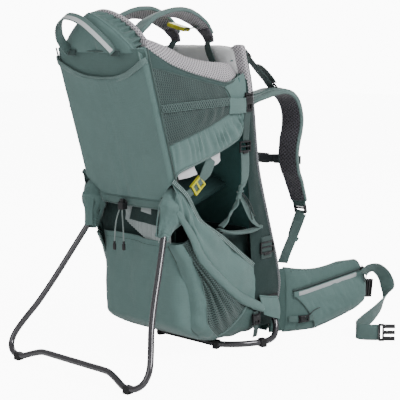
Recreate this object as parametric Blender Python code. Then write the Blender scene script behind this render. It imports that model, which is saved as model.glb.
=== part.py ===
"""Framed child carrier backpack, modelled in metres with +Z up.

+X is the way the wearer faces, +Y is the wearer's left.  Every coordinate
below is written in a working frame whose X = 0 is the line on which the
kickstand's feet touch the floor; the root empty moves the finished carrier so
that its origin is the middle of its box, on the floor.
"""
import bpy
import bmesh
import math
from mathutils import Matrix, Vector

for ob in list(bpy.data.objects):
    bpy.data.objects.remove(ob, do_unlink=True)

# ----------------------------------------------------------------- dimensions
ORIGIN_X = 0.39687            # middle of the carrier's box, fore and aft

FRAME_TUBE_R = 0.0070         # seat and back frame tube radius
STAND_TUBE_R = 0.0065         # kickstand tube radius
CLEAR = 0.0003                # gap kept between touching pieces

PIVOT_X, PIVOT_Z = 0.197, 0.344   # kickstand hinge axis, parallel to Y
HUB_Y = 0.1033                # middle of the kickstand's hub
HUB_HALF = 0.0087             # half its width
HUB_R = 0.0170
PIN_R = 0.0040
PIN_CLEAR = 0.0001            # running clearance, radial

CABIN_HALF = 0.1245           # half width of the child's cabin
REAR_TOP_X, REAR_TOP_Z = 0.0912, 0.667
REAR_LEAN = 0.298             # forward run of the rear panel per metre down
REAR_BOTTOM_Z = 0.357

BASE_Z = 0.0110               # base tube's centre above the floor
FOOT_H = 0.0036               # rubber under a tube

WEB_HIP, WEB_MAIN, WEB_THIN = 0.038, 0.025, 0.020
WEB_T = 0.0020

# wearer's side of the back panel: (height, distance forward)
BACK_LINE = [(0.000, 0.516), (0.045, 0.520), (0.084, 0.523), (0.146, 0.519), (0.192, 0.508), (0.256, 0.487),
             (0.339, 0.460), (0.388, 0.445), (0.424, 0.437), (0.477, 0.430), (0.519, 0.425), (0.561, 0.419),
             (0.600, 0.412), (0.652, 0.399), (0.700, 0.388)]


def back_x(z):
    for (z0, x0), (z1, x1) in zip(BACK_LINE, BACK_LINE[1:]):
        if z <= z1:
            return x0 + (x1 - x0) * (z - z0) / (z1 - z0)
    return BACK_LINE[-1][1]


def rear_x(z):
    return REAR_TOP_X + REAR_LEAN * (REAR_TOP_Z - z)


# ------------------------------------------------------------------ materials
def material(name, rgb, rough, metal=0.0):
    m = bpy.data.materials.new(name)
    m.use_nodes = True
    b = m.node_tree.nodes["Principled BSDF"]
    b.inputs["Base Color"].default_value = (*rgb, 1.0)
    b.inputs["Roughness"].default_value = rough
    b.inputs["Metallic"].default_value = metal
    return m


LOOKS = {
    "tube": ((0.045, 0.044, 0.050), 0.35, 0.6),
    "tube_black": ((0.030, 0.030, 0.033), 0.42, 0.5),
    "pin_steel": ((0.45, 0.45, 0.46), 0.3, 1.0),
    "joint_plastic": ((0.018, 0.018, 0.020), 0.45, 0.0),
    "buckle_plastic": ((0.014, 0.014, 0.016), 0.38, 0.0),
    "yellow_plastic": ((0.62, 0.58, 0.03), 0.4, 0.0),
    "rubber": ((0.012, 0.012, 0.013), 0.8, 0.0),
    "shell_fabric": ((0.125, 0.195, 0.185), 0.8, 0.0),
    "lining_fabric": ((0.012, 0.035, 0.036), 0.9, 0.0),
    "pale_mesh": ((0.58, 0.56, 0.59), 0.85, 0.0),
    "dark_mesh": ((0.065, 0.062, 0.075), 0.85, 0.0),
    "webbing": ((0.075, 0.125, 0.118), 0.75, 0.0),
    "zip_trim": ((0.55, 0.57, 0.59), 0.5, 0.0),
    "cord": ((0.20, 0.24, 0.235), 0.8, 0.0),
}


# ------------------------------------------------------------- mesh helpers
ROOT = bpy.data.objects.new("carrier_axis", None)
bpy.context.scene.collection.objects.link(ROOT)
ROOT.location = (-ORIGIN_X, 0.0, 0.0)


def axis_empty(name, at, parent=ROOT):
    e = bpy.data.objects.new(name, None)
    bpy.context.scene.collection.objects.link(e)
    e.parent = parent
    here = Vector((0, 0, 0)) if parent is ROOT else Vector(parent["at"])
    e.location = Vector(at) - here
    e["at"] = tuple(at)
    return e


def put(bm, name, look, parent=ROOT, smooth=35):
    """Finish a mesh as one named piece.  Its points are in the working frame."""
    bmesh.ops.recalc_face_normals(bm, faces=bm.faces)
    if bm.calc_volume(signed=True) < 0:
        bmesh.ops.reverse_faces(bm, faces=bm.faces)
    me = bpy.data.meshes.new(name)
    bm.to_mesh(me)
    bm.free()
    me.shade_smooth()
    me.set_sharp_from_angle(angle=math.radians(smooth))
    rgb, rough, metal = LOOKS[look]
    me.materials.append(material(name, rgb, rough, metal))
    ob = bpy.data.objects.new(name, me)
    bpy.context.scene.collection.objects.link(ob)
    ob.parent = parent
    if parent is not ROOT:
        ob.location = -Vector(parent["at"])
    return ob


def skin(bm, rings, closed_path=False, cap=True):
    """Bridge rings of equal length; returns nothing, fills bm."""
    rows = [[bm.verts.new(p) for p in ring] for ring in rings]
    n = len(rows[0])
    pairs = list(zip(rows, rows[1:]))
    if closed_path:
        pairs.append((rows[-1], rows[0]))
    for a, b in pairs:
        for i in range(n):
            j = (i + 1) % n
            bm.faces.new((a[i], a[j], b[j], b[i]))
    if cap and not closed_path:
        bm.faces.new(list(reversed(rows[0])))
        bm.faces.new(rows[-1])


def loft(name, rings, look, parent=ROOT, closed_path=False, smooth=35):
    bm = bmesh.new()
    skin(bm, rings, closed_path)
    return put(bm, name, look, parent, smooth)


def dense(points, step):
    """Catmull-Rom curve through points, with a point about every step."""
    p = [Vector(q) for q in points]
    p = [2 * p[0] - p[1]] + p + [2 * p[-1] - p[-2]]
    out = []
    for i in range(1, len(p) - 2):
        a, b, c, d = p[i - 1:i + 3]
        n = max(1, round((c - b).length / step))
        for k in range(n):
            t = k / n
            out.append(0.5 * ((2 * b) + (c - a) * t + (2 * a - 5 * b + 4 * c - d) * t * t
                              + (3 * b - a - 3 * c + d) * t ** 3))
    out.append(p[-2])
    return out


def rounded(points, radii, seg=5):
    """Polyline whose inner corners are replaced by arcs of the given radii."""
    p = [Vector(q) for q in points]
    out = [p[0]]
    for i in range(1, len(p) - 1):
        r = radii[i - 1]
        u, v = (p[i - 1] - p[i]).normalized(), (p[i + 1] - p[i]).normalized()
        half = u.angle(v) / 2
        cut = r / math.tan(half)
        mid = (u + v).normalized()
        centre = p[i] + mid * (r / math.sin(half))
        a, b = p[i] + u * cut - centre, p[i] + v * cut - centre
        turn = a.angle(b)
        for k in range(seg + 1):
            t = k / seg
            out.append(centre + (a * math.sin((1 - t) * turn) + b * math.sin(t * turn)) / math.sin(turn))
    out.append(p[-1])
    return out


def tangents(pts):
    out = []
    for i in range(len(pts)):
        a, b = pts[max(i - 1, 0)], pts[min(i + 1, len(pts) - 1)]
        out.append((b - a).normalized())
    return out


def pipe_rings(pts, r, n=10):
    tan = tangents(pts)
    side = tan[0].orthogonal().normalized()
    rings = []
    for p, t in zip(pts, tan):
        side = (side - t * side.dot(t)).normalized()
        up = t.cross(side)
        rings.append([p + (side * math.cos(a) + up * math.sin(a)) * r
                      for a in (2 * math.pi * k / n for k in range(n))])
    return rings


def pipe(name, pts, r, look, parent=ROOT, n=10):
    return loft(name, pipe_rings([Vector(p) for p in pts], r, n), look, parent, smooth=60)


def even_pipe(name, half_pts, r, look, parent=ROOT, n=10):
    """Pipe along a path that starts on the middle plane, and its mirror image."""
    rings = pipe_rings([Vector(p) for p in half_pts], r, n)
    for v in rings[0]:
        v.y = 0.0
    other = [[Vector((v.x, -v.y, v.z)) for v in ring] for ring in rings[1:]]
    return loft(name, list(reversed(other)) + rings, look, parent, smooth=60)


def strap_rings(pts, wide, width, thick):
    """Rectangular section; wide gives the width's direction at each point."""
    tan = tangents(pts)
    rings = []
    for i, (p, t) in enumerate(zip(pts, tan)):
        w = Vector(wide[i] if isinstance(wide, list) else wide)
        w = (w - t * w.dot(t)).normalized()
        n = t.cross(w)
        ww = (width[i] if isinstance(width, list) else width) / 2
        hh = (thick[i] if isinstance(thick, list) else thick) / 2
        rings.append([p + w * ww + n * hh, p - w * ww + n * hh, p - w * ww - n * hh, p + w * ww - n * hh])
    return rings


def strap(name, pts, wide, width, thick, look, parent=ROOT):
    pts = [Vector(p) for p in pts]
    return loft(name, strap_rings(pts, wide, width, thick), look, parent, smooth=50)


def pad_rings(pts, wide, width, thick, crown=0.55):
    """Padded strap: a flattened eight sided section."""
    tan = tangents(pts)
    rings = []
    for i, (p, t) in enumerate(zip(pts, tan)):
        w = Vector(wide)
        w = (w - t * w.dot(t)).normalized()
        n = t.cross(w)
        ww = (width[i] if isinstance(width, list) else width) / 2
        hh = (thick[i] if isinstance(thick, list) else thick) / 2
        sec = [(1, crown * .55), (.82, .95), (0, 1), (-.82, .95), (-1, crown * .55),
               (-1, -crown * .55), (-.82, -.95), (0, -1), (.82, -.95), (1, -crown * .55)]
        rings.append([p + w * (ww * a) + n * (hh * b) for a, b in sec])
    return rings


def panel(name, face_a, face_b, look, parent=ROOT, smooth=35):
    """Closed slab between two equal grids of points (rows of columns)."""
    bm = bmesh.new()
    rows, cols = len(face_a), len(face_a[0])
    va = [[bm.verts.new(p) for p in row] for row in face_a]
    vb = [[bm.verts.new(p) for p in row] for row in face_b]
    for i in range(rows - 1):
        for j in range(cols - 1):
            bm.faces.new((va[i][j], va[i][j + 1], va[i + 1][j + 1], va[i + 1][j]))
            bm.faces.new((vb[i][j], vb[i + 1][j], vb[i + 1][j + 1], vb[i][j + 1]))
    edge = ([(0, j) for j in range(cols)] + [(i, cols - 1) for i in range(1, rows)]
            + [(rows - 1, j) for j in range(cols - 2, -1, -1)] + [(i, 0) for i in range(rows - 2, 0, -1)])
    for (i, j), (k, l) in zip(edge, edge[1:] + edge[:1]):
        bm.faces.new((va[i][j], vb[i][j], vb[k][l], va[k][l]))
    return put(bm, name, look, parent, smooth)


def block(name, centre, size, look, parent=ROOT, turn=None, bevel=0.0015, seg=2):
    bm = bmesh.new()
    bmesh.ops.create_cube(bm, size=1.0)
    bmesh.ops.scale(bm, vec=size, verts=bm.verts)
    if bevel:
        bmesh.ops.bevel(bm, geom=list(bm.edges), offset=bevel, segments=seg, profile=0.5, affect='EDGES')
    if turn is not None:
        bmesh.ops.transform(bm, matrix=turn.to_4x4(), verts=bm.verts)
    bmesh.ops.translate(bm, vec=centre, verts=bm.verts)
    return put(bm, name, look, parent)


def frame_of(x, y=None, z=None):
    """Rotation whose columns are the given direction x and its companions."""
    x = Vector(x).normalized()
    up = Vector(z or (0, 0, 1))
    yy = up.cross(x).normalized()
    zz = x.cross(yy)
    return Matrix((x, yy, zz)).transposed()


def rod_points(a, b, r, n=24, phase=0.0):
    a, b = Vector(a), Vector(b)
    t = (b - a).normalized()
    side = (Vector((0, 0, 1)) if abs(t.z) < 0.9 else Vector((1, 0, 0)))
    side = (side - t * side.dot(t)).normalized()
    up = t.cross(side)
    ring = [(side * math.cos(q) + up * math.sin(q)) * r for q in (2 * math.pi * k / n + phase for k in range(n))]
    return [[a + v for v in ring], [b + v for v in ring]]


def solid_from(rings):
    bm = bmesh.new()
    skin(bm, rings)
    bmesh.ops.recalc_face_normals(bm, faces=bm.faces)
    me = bpy.data.meshes.new("tool")
    bm.to_mesh(me)
    bm.free()
    ob = bpy.data.objects.new("tool", me)
    bpy.context.scene.collection.objects.link(ob)
    return ob


def carve(base, steps):
    """Union and difference a list of ('UNION' | 'DIFFERENCE', tool) into base."""
    for op, tool in steps:
        m = base.modifiers.new("cut", 'BOOLEAN')
        m.operation, m.object, m.solver = op, tool, 'EXACT'
        dg = bpy.context.evaluated_depsgraph_get()
        me = bpy.data.meshes.new_from_object(base.evaluated_get(dg))
        base.modifiers.remove(m)
        base.data = me
        bpy.data.objects.remove(tool, do_unlink=True)
    return base


def adopt(tool, name, look, parent=ROOT):
    bm = bmesh.new()
    bm.from_mesh(tool.data)
    bpy.data.objects.remove(tool, do_unlink=True)
    bmesh.ops.remove_doubles(bm, verts=bm.verts, dist=1e-6)
    return put(bm, name, look, parent)


SIDES = (("right", -1.0), ("left", 1.0))


def flip(points, s):
    """Points given for +Y, for side s."""
    return [Vector((x, y * s, z)) for x, y, z in points]


# ------------------------------------------------------------- moving groups
KICK = axis_empty("kickstand_axis", (PIVOT_X, 0, PIVOT_Z))
FIN_PIVOT = (0.545, 0.122, 0.085)
FIN = {n: axis_empty("hip_fin_%s_axis" % n, (FIN_PIVOT[0], FIN_PIVOT[1] * s, FIN_PIVOT[2])) for n, s in SIDES}
HARNESS = axis_empty("shoulder_harness_axis", (0.45, 0, 0.50))
STERNUM = axis_empty("sternum_axis", (0.606, 0, 0.405), HARNESS)
CHEST = axis_empty("chest_harness_axis", (0.136, 0, 0.690))
HANDLE = axis_empty("grab_handle_axis", (0.077, 0, 0.664))
STIRRUP_TOP = (0.372, 0.139, 0.455)
STIRRUP = {n: axis_empty("foot_stirrup_%s_axis" % n, (STIRRUP_TOP[0], STIRRUP_TOP[1] * s, STIRRUP_TOP[2]))
           for n, s in SIDES}

# ------------------------------------------------------------------ the frame
# base frame: a sled of tube, its rear bar carrying two feet, its ends rising
base_half = [(0.360, 0.0, BASE_Z), (0.360, 0.080, BASE_Z), (0.368, 0.102, BASE_Z), (0.390, 0.126, BASE_Z),
             (0.420, 0.145, BASE_Z), (0.452, 0.155, BASE_Z), (0.480, 0.154, 0.0160), (0.498, 0.146, 0.0330),
             (0.5035, 0.136, 0.0540), (0.5010, 0.1300, 0.0700)]
half = dense(base_half, 0.016)
even_pipe("base_frame", half, FRAME_TUBE_R, "tube", n=10)

# back frame: upright loop inside the back panel
def upright(z):
    return (back_x(z) - 0.028, 0.1285 - 0.010 * (z / 0.6), z)


loop = [upright(z) for z in (0.1125, 0.150, 0.200, 0.260, 0.330, 0.400, 0.480, 0.560)]
corner = Vector(upright(0.597))
left_side = [Vector(p) for p in reversed(loop)]
path = rounded([(corner.x, 0.0, corner.z), corner, left_side[0]], [0.028], 5) + left_side[1:]
even_pipe("back_frame", path, FRAME_TUBE_R, "tube_black", n=10)

# seat frame: diagonal from the base corner up to the hinge bend, then up the rear panel
SEAT_PATH = [(rear_x(0.648) + 0.007, 0.0, 0.648), (rear_x(0.648) + 0.007, 0.1235, 0.648), (0.2010, 0.1265, 0.3490),
             (0.4660, 0.1260, 0.0825)]
seat_half = rounded(SEAT_PATH, [0.035, 0.060], 6)
even_pipe("seat_frame", seat_half, FRAME_TUBE_R, "tube_black", n=10)

for side, s in SIDES:
    # knuckle where the three frames meet
    block("frame_joint_" + side, (0.4925, 0.1290 * s, 0.0920), (0.0405, 0.0240, 0.0365), "joint_plastic", bevel=0.003)
    # hinge bracket: a plate beside the seat frame with a saddle round its bend
    plate = solid_from(rod_points((PIVOT_X, 0.1125 * s, PIVOT_Z), (PIVOT_X, 0.1190 * s, PIVOT_Z), 0.0195, 24))
    saddle = bmesh.new()
    bmesh.ops.create_cube(saddle, size=1.0)
    bmesh.ops.scale(saddle, vec=(0.030, 0.0200, 0.030), verts=saddle.verts)
    bmesh.ops.bevel(saddle, geom=list(saddle.edges), offset=0.003, segments=2, profile=0.5, affect='EDGES')
    bmesh.ops.translate(saddle, vec=(0.2040, 0.1275 * s, 0.3480), verts=saddle.verts)
    me = bpy.data.meshes.new("tool")
    saddle.to_mesh(me)
    saddle.free()
    saddle = bpy.data.objects.new("tool", me)
    bpy.context.scene.collection.objects.link(saddle)
    near = [Vector((p.x, p.y * s, p.z)) for p in seat_half if p.y > 0.05 and p.z < 0.645]
    channel = solid_from(pipe_rings(near, FRAME_TUBE_R + 0.0004, 10))
    bore = solid_from(rod_points((PIVOT_X, 0.1050 * s, PIVOT_Z), (PIVOT_X, 0.1194 * s, PIVOT_Z), PIN_R + PIN_CLEAR, 24))
    carve(plate, [('UNION', saddle), ('DIFFERENCE', channel), ('DIFFERENCE', bore)])
    adopt(plate, "hinge_bracket_" + side, "joint_plastic")
    # hinge pin with a flat head on the inner side
    y0, y1, y2 = 0.0915 * s, 0.0942 * s, 0.1188 * s
    rings = rod_points((PIVOT_X, y0, PIVOT_Z), (PIVOT_X, y1, PIVOT_Z), 0.0065, 24)
    rings += rod_points((PIVOT_X, y1, PIVOT_Z), (PIVOT_X, y2, PIVOT_Z), PIN_R, 24)
    loft("hinge_pin_" + side, rings, "pin_steel")

    # rubber feet clipped under the base tube
    for where, (fx, fy, along) in {"rear": (0.360, 0.0865, 1), "front": (0.4405, 0.1535, 0)}.items():
        bm = bmesh.new()
        bmesh.ops.create_cube(bm, size=1.0)
        size = (0.0190, 0.0160, 0.0200) if where == "front" else (0.0190, 0.0150, 0.0200)
        bmesh.ops.scale(bm, vec=size, verts=bm.verts)
        bmesh.ops.bevel(bm, geom=[e for e in bm.edges], offset=0.003, segments=2, profile=0.5, affect='EDGES')
        turn = Matrix.Rotation(math.radians(-20 * s) if where == "rear" else math.radians(-72 * s), 3, 'Z')
        bmesh.ops.transform(bm, matrix=turn.to_4x4(), verts=bm.verts)
        bmesh.ops.translate(bm, vec=(fx, fy * s, 0.0100), verts=bm.verts)
        me = bpy.data.meshes.new("tool")
        bm.to_mesh(me)
        bm.free()
        clip = bpy.data.objects.new("tool", me)
        bpy.context.scene.collection.objects.link(clip)
        tool = solid_from(pipe_rings([p for p in (half if s > 0 else [Vector((q.x, -q.y, q.z)) for q in half])
                                      if (p - Vector((fx, fy * s, BASE_Z))).length < 0.05], FRAME_TUBE_R + 0.0006, 10))
        carve(clip, [('DIFFERENCE', tool)])
        adopt(clip, "base_foot_%s_%s" % (where, side), "rubber")

# ------------------------------------------------------------------ kickstand
STAND_HALF = [(0.0165, 0.0, 0.0290), (0.0165, 0.090, 0.0290), (0.0155, 0.108, 0.0275), (0.0115, 0.131, 0.0205),
              (0.0062, 0.156, 0.0120), (0.0058, 0.174, 0.0110), (0.0075, 0.190, 0.0140), (0.0125, 0.2035, 0.0235),
              (0.0200, 0.2090, 0.0370), (0.0300, 0.2070, 0.0540), (0.0450, 0.1950, 0.0800), (0.0670, 0.1750, 0.1170),
              (0.0950, 0.1560, 0.1650), (0.1230, 0.1400, 0.2130), (0.1520, 0.1230, 0.2640), (0.1700, 0.1120, 0.2960),
              (0.1790, 0.1065, 0.3120), (0.1840, 0.1040, 0.3210), (PIVOT_X - 0.0085, HUB_Y, PIVOT_Z - 0.0150)]
half_s = dense(STAND_HALF, 0.015)
even_pipe("kickstand_tube", half_s, STAND_TUBE_R, "tube", KICK, n=10)

for side, s in SIDES:
    y0, y1 = (HUB_Y - HUB_HALF) * s, (HUB_Y + HUB_HALF) * s
    hub = solid_from(rod_points((PIVOT_X, y0, PIVOT_Z), (PIVOT_X, y1, PIVOT_Z), HUB_R, 28))
    end = Vector((0.1775, 0.1075 * s, 0.3094))
    top = Vector((PIVOT_X - 0.0020, HUB_Y * s, PIVOT_Z - 0.0036))
    socket = solid_from(rod_points(top, end, 0.0086, 20))
    leg = [p for p in (half_s if s > 0 else [Vector((q.x, -q.y, q.z)) for q in half_s]) if p.z > 0.27]
    channel = solid_from(pipe_rings(leg, STAND_TUBE_R + CLEAR, 10))
    bore = solid_from(rod_points((PIVOT_X, 0.08 * s, PIVOT_Z), (PIVOT_X, 0.13 * s, PIVOT_Z), PIN_R + PIN_CLEAR, 24))
    trim_in = solid_from([[Vector((x, y, z)) for x, z in ((0.10, 0.25), (0.30, 0.25), (0.30, 0.45), (0.10, 0.45))]
                          for y in ((0.1121 * s), (0.20 * s))])
    carve(hub, [('UNION', socket), ('DIFFERENCE', channel), ('DIFFERENCE', bore), ('DIFFERENCE', trim_in)])
    adopt(hub, "kickstand_hub_" + side, "joint_plastic", KICK)
    # rubber foot clipped under the stand's lowest bend
    bm = bmesh.new()
    bmesh.ops.create_cube(bm, size=1.0)
    bmesh.ops.scale(bm, vec=(0.0180, 0.0170, 0.0170), verts=bm.verts)
    bmesh.ops.bevel(bm, geom=list(bm.edges), offset=0.003, segments=2, profile=0.5, affect='EDGES')
    bmesh.ops.translate(bm, vec=(0.0060, 0.1700 * s, 0.0085), verts=bm.verts)
    me = bpy.data.meshes.new("tool")
    bm.to_mesh(me)
    bm.free()
    clip = bpy.data.objects.new("tool", me)
    bpy.context.scene.collection.objects.link(clip)
    low = [p for p in (half_s if s > 0 else [Vector((q.x, -q.y, q.z)) for q in half_s]) if 0.125 < p.y * s < 0.205 and p.z < 0.035]
    tool = solid_from(pipe_rings(low, STAND_TUBE_R + 0.0006, 10))
    carve(clip, [('DIFFERENCE', tool)])
    adopt(clip, "kickstand_foot_" + side, "rubber", KICK)

# ------------------------------------------------------------------ back panel
zs = [0.050, 0.085, 0.1115, 0.1140, 0.150, 0.200, 0.260, 0.330, 0.400, 0.480, 0.560, 0.603]
ys = [-1.0, -0.5, 0.0, 0.5, 1.0]


def back_face(depth, z, t):
    w = 0.136 - 0.006 * (z / 0.6) if z > 0.113 else 0.1140
    return Vector((back_x(z) - depth, w * t, z))


panel("back_panel", [[back_face(0.0, z, t) for t in ys] for z in zs],
      [[back_face(0.0195, z, t) for t in ys] for z in zs], "dark_mesh")

# front pad at the top of the back, facing the child
zs = [0.606, 0.628, 0.650, 0.672]
panel("front_pad", [[Vector((back_x(z) + 0.001, (0.120 - 0.004 * (i == 3)) * t, z)) for t in ys] for i, z in enumerate(zs)],
      [[Vector((back_x(z) - 0.019, (0.120 - 0.004 * (i == 3)) * t, z)) for t in ys] for i, z in enumerate(zs)], "pale_mesh")

# lumbar pad in front of the back panel's foot
zs = [0.010, 0.045, 0.080, 0.115, 0.150, 0.165]
panel("lumbar_pad", [[Vector((back_x(z) + 0.026 - 0.010 * (i in (0, 5)), 0.102 * t, z)) for t in ys] for i, z in enumerate(zs)],
      [[Vector((back_x(z) + 0.002, 0.112 * t, z)) for t in ys] for i, z in enumerate(zs)], "dark_mesh")

# ------------------------------------------------------------------ hip belt
def fin_point(u, v, out):
    """u from root to tip, v from bottom to top, out away from the wearer."""
    x = 0.5520 + 0.2180 * u
    y = 0.1200 + 0.0960 * u - 0.0180 * u * u + 0.006 * math.sin(math.pi * u)
    lo = 0.0085 + (0.0420 - 0.0085) * max(0.0, u - 0.35) / 0.65 * (1 + 0.25 * u)
    hi = 0.1580 - 0.010 * math.sin(math.pi * min(u * 1.6, 1.0))
    if u > 0.85:
        k = (u - 0.85) / 0.15
        hi -= 0.050 * k * k
        lo += 0.008 * k * k
    n = Vector((-0.36, 0.93, 0.0)).normalized()
    return Vector((x, y, lo + (hi - lo) * v)) + n * out


def fin_outer(u, v):
    """Outer face: straight along the pocket's zip, thinner at the edges."""
    p = fin_point(u, v, 0.0)
    straight = 0.1521 + 0.0429 * (u - 0.30) / 0.63
    k = min(u / 0.20, 1.0)
    y = (p.y + 0.006) * (1 - k) + straight * k + 0.0110 * (1 - 0.5 * abs(2 * v - 1) ** 4) * (0.5 + 0.5 * k)
    return Vector((p.x, y, p.z))


us = [0.0, 0.1, 0.2, 0.35, 0.5, 0.7, 0.85, 0.95, 1.0]
vs = [0.0, 0.12, 0.5, 0.88, 1.0]
for side, s in SIDES:
    outer, inner = [], []
    for u in us:
        ro, ri = [], []
        for v in vs:
            a = fin_outer(u, v)
            b = fin_point(u, v, -0.008)
            ro.append(Vector((a.x, a.y * s, a.z)))
            ri.append(Vector((b.x, b.y * s, b.z)))
        outer.append(ro)
        inner.append(ri)
    panel("hip_fin_" + side, outer, inner, "shell_fabric", FIN[side])
    # ladder lock at the fin's tip
    c = Vector((0.7830, 0.2040 * s, 0.0850))
    t = frame_of(Vector((0.95, 0.22 * s, -0.10)))
    lock = solid_from([[c + t @ Vector((dx, dy, dz)) for dy, dz in
                        ((-0.004, -0.022), (0.004, -0.022), (0.004, 0.022), (-0.004, 0.022))] for dx in (-0.0085, 0.011)])
    slot_a = solid_from([[c + t @ Vector((dx, dy, dz)) for dy, dz in
                          ((-0.01, -0.0185), (0.01, -0.0185), (0.01, 0.0185), (-0.01, 0.0185))] for dx in (-0.0060, -0.0010)])
    slot_b = solid_from([[c + t @ Vector((dx, dy, dz)) for dy, dz in
                          ((-0.01, -0.0185), (0.01, -0.0185), (0.01, 0.0185), (-0.01, 0.0185))] for dx in (0.0020, 0.0080)])
    carve(lock, [('DIFFERENCE', slot_a), ('DIFFERENCE', slot_b)])
    adopt(lock, "hip_ladder_lock_" + side, "buckle_plastic", FIN[side])

# hip webbing: springs out of the fin's tip in an arc, folds, and runs down to the floor
TAIL = [(0.7400, 0.2180, 0.1300), (0.7480, 0.2290, 0.1420), (0.7600, 0.2400, 0.1440), (0.7760, 0.2490, 0.1300),
        (0.7850, 0.2560, 0.1080), (0.7790, 0.2620, 0.0860), (0.7520, 0.2670, 0.0640), (0.7120, 0.2690, 0.0455),
        (0.6700, 0.2670, 0.0305), (0.6420, 0.2690, 0.0225), (0.6330, 0.2790, 0.0205), (0.6380, 0.2950, 0.0200),
        (0.6480, 0.3090, 0.0200), (0.6570, 0.3190, 0.0200)]
TAIL_WIDE = [(-0.35, 0.45, 0.80), (-0.30, 0.55, 0.75), (-0.1, 0.80, 0.55), (0.1, 0.90, 0.30), (0.2, 0.90, 0.1),
             (0.05, 0.60, 0.60), (-0.05, 0.30, 0.90), (0, 0.1, 1), (0, 0, 1), (0, 0, 1), (0, 0, 1), (0, 0, 1),
             (0, 0, 1), (0, 0, 1)]
TAIL_LEFT = TAIL[:-3] + [(0.6400, 0.2950, 0.0200), (0.6450, 0.3090, 0.0200), (0.6458, 0.3230, 0.0200)]
for side, s in SIDES:
    pts = dense(flip(TAIL if s < 0 else TAIL_LEFT, s), 0.012)
    wide = []
    for i in range(len(pts)):
        f = i / (len(pts) - 1) * (len(TAIL_WIDE) - 1)
        k = min(int(f), len(TAIL_WIDE) - 2)
        a, b = flip(TAIL_WIDE, s)[k], flip(TAIL_WIDE, s)[k + 1]
        wide.append(a.lerp(b, f - k))
    strap("hip_webbing_" + side, pts, wide, WEB_HIP, WEB_T, "webbing", FIN[side])
    end = Vector((0.6570, -0.3190, 0.0200)) if s < 0 else Vector((0.6458, 0.3230, 0.0200))
    way = Vector((0.66, -0.75, 0.0)).normalized() if s < 0 else Vector((0.0, 1.0, 0.0))
    t = frame_of(way)
    if side == "right":       # the half with the three prongs
        c = end + way * 0.0050
        body = solid_from([[c + t @ Vector((dx, dy, dz)) for dy, dz in
                            ((-0.005, -0.0195), (0.005, -0.0195), (0.005, 0.0195), (-0.005, 0.0195))] for dx in (-0.0042, 0.0080)])
        web = solid_from([[c + t @ Vector((dx, dy, dz)) for dy, dz in
                           ((-0.02, -0.0160), (0.02, -0.0160), (0.02, 0.0160), (-0.02, 0.0160))] for dx in (-0.0005, 0.0045)])
        prongs = []
        for lo, hi in ((-0.0185, -0.0105), (-0.0035, 0.0035), (0.0105, 0.0185)):
            prongs.append(('UNION', solid_from([[c + t @ Vector((dx, dy, dz)) for dy, dz in
                          ((-0.0035, lo), (0.0035, lo), (0.0035, hi), (-0.0035, hi))] for dx in (0.0060, 0.0330)])))
        carve(body, [('DIFFERENCE', web)] + prongs)
        adopt(body, "hip_buckle_prong", "buckle_plastic", FIN[side])
    else:                     # the half with the socket
        c = end + way * 0.0050
        body = solid_from([[c + t @ Vector((dx, dy, dz)) for dy, dz in
                            ((-0.0070, -0.0195), (0.0070, -0.0195), (0.0070, 0.0195), (-0.0070, 0.0195))] for dx in (-0.0042, 0.0400)])
        mouth = solid_from([[c + t @ Vector((dx, dy, dz)) for dy, dz in
                             ((-0.0045, -0.0170), (0.0045, -0.0170), (0.0045, 0.0170), (-0.0045, 0.0170))] for dx in (0.0080, 0.0450)])
        web = solid_from([[c + t @ Vector((dx, dy, dz)) for dy, dz in
                           ((-0.02, -0.0160), (0.02, -0.0160), (0.02, 0.0160), (-0.02, 0.0160))] for dx in (-0.0005, 0.0045)])
        carve(body, [('DIFFERENCE', mouth), ('DIFFERENCE', web)])
        adopt(body, "hip_buckle_socket", "buckle_plastic", FIN[side])

# zip slider of the right fin's pocket, at the closed end of its zip
def zip_point(u):
    z = 0.1080 + 0.0300 * (u - 0.15) / 0.75
    v = (z - fin_point(u, 0, 0).z) / (fin_point(u, 1, 0).z - fin_point(u, 0, 0).z)
    q = fin_outer(u, v)
    return Vector((q.x, -q.y, q.z))


ZIP_A, ZIP_B = zip_point(0.28), zip_point(0.92)
ZIP_WAY = (ZIP_A - ZIP_B).normalized()
OUT = ZIP_WAY.cross(Vector((0, 0, 1))).normalized()
OUT = OUT if OUT.y < 0 else -OUT
t = Matrix((ZIP_WAY, OUT.cross(ZIP_WAY).normalized(), OUT)).transposed()
block("zip_slider", ZIP_B + OUT * 0.0040, (0.0110, 0.0085, 0.0050), "buckle_plastic",
      axis_empty("zip_axis", tuple(ZIP_B), FIN["right"]), turn=t, bevel=0.0012)

# ------------------------------------------------------------------ shoulder harness
yoke = [(0.4460, 0, 0.4550), (0.4400, 0, 0.4850), (0.4380, 0, 0.5150), (0.4400, 0, 0.5380)]
rings = pad_rings([Vector(p) for p in yoke], (0, 1, 0), [0.110, 0.190, 0.220, 0.226], [0.009, 0.012, 0.012, 0.010])
loft("harness_yoke", rings, "dark_mesh", HARNESS)

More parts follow.
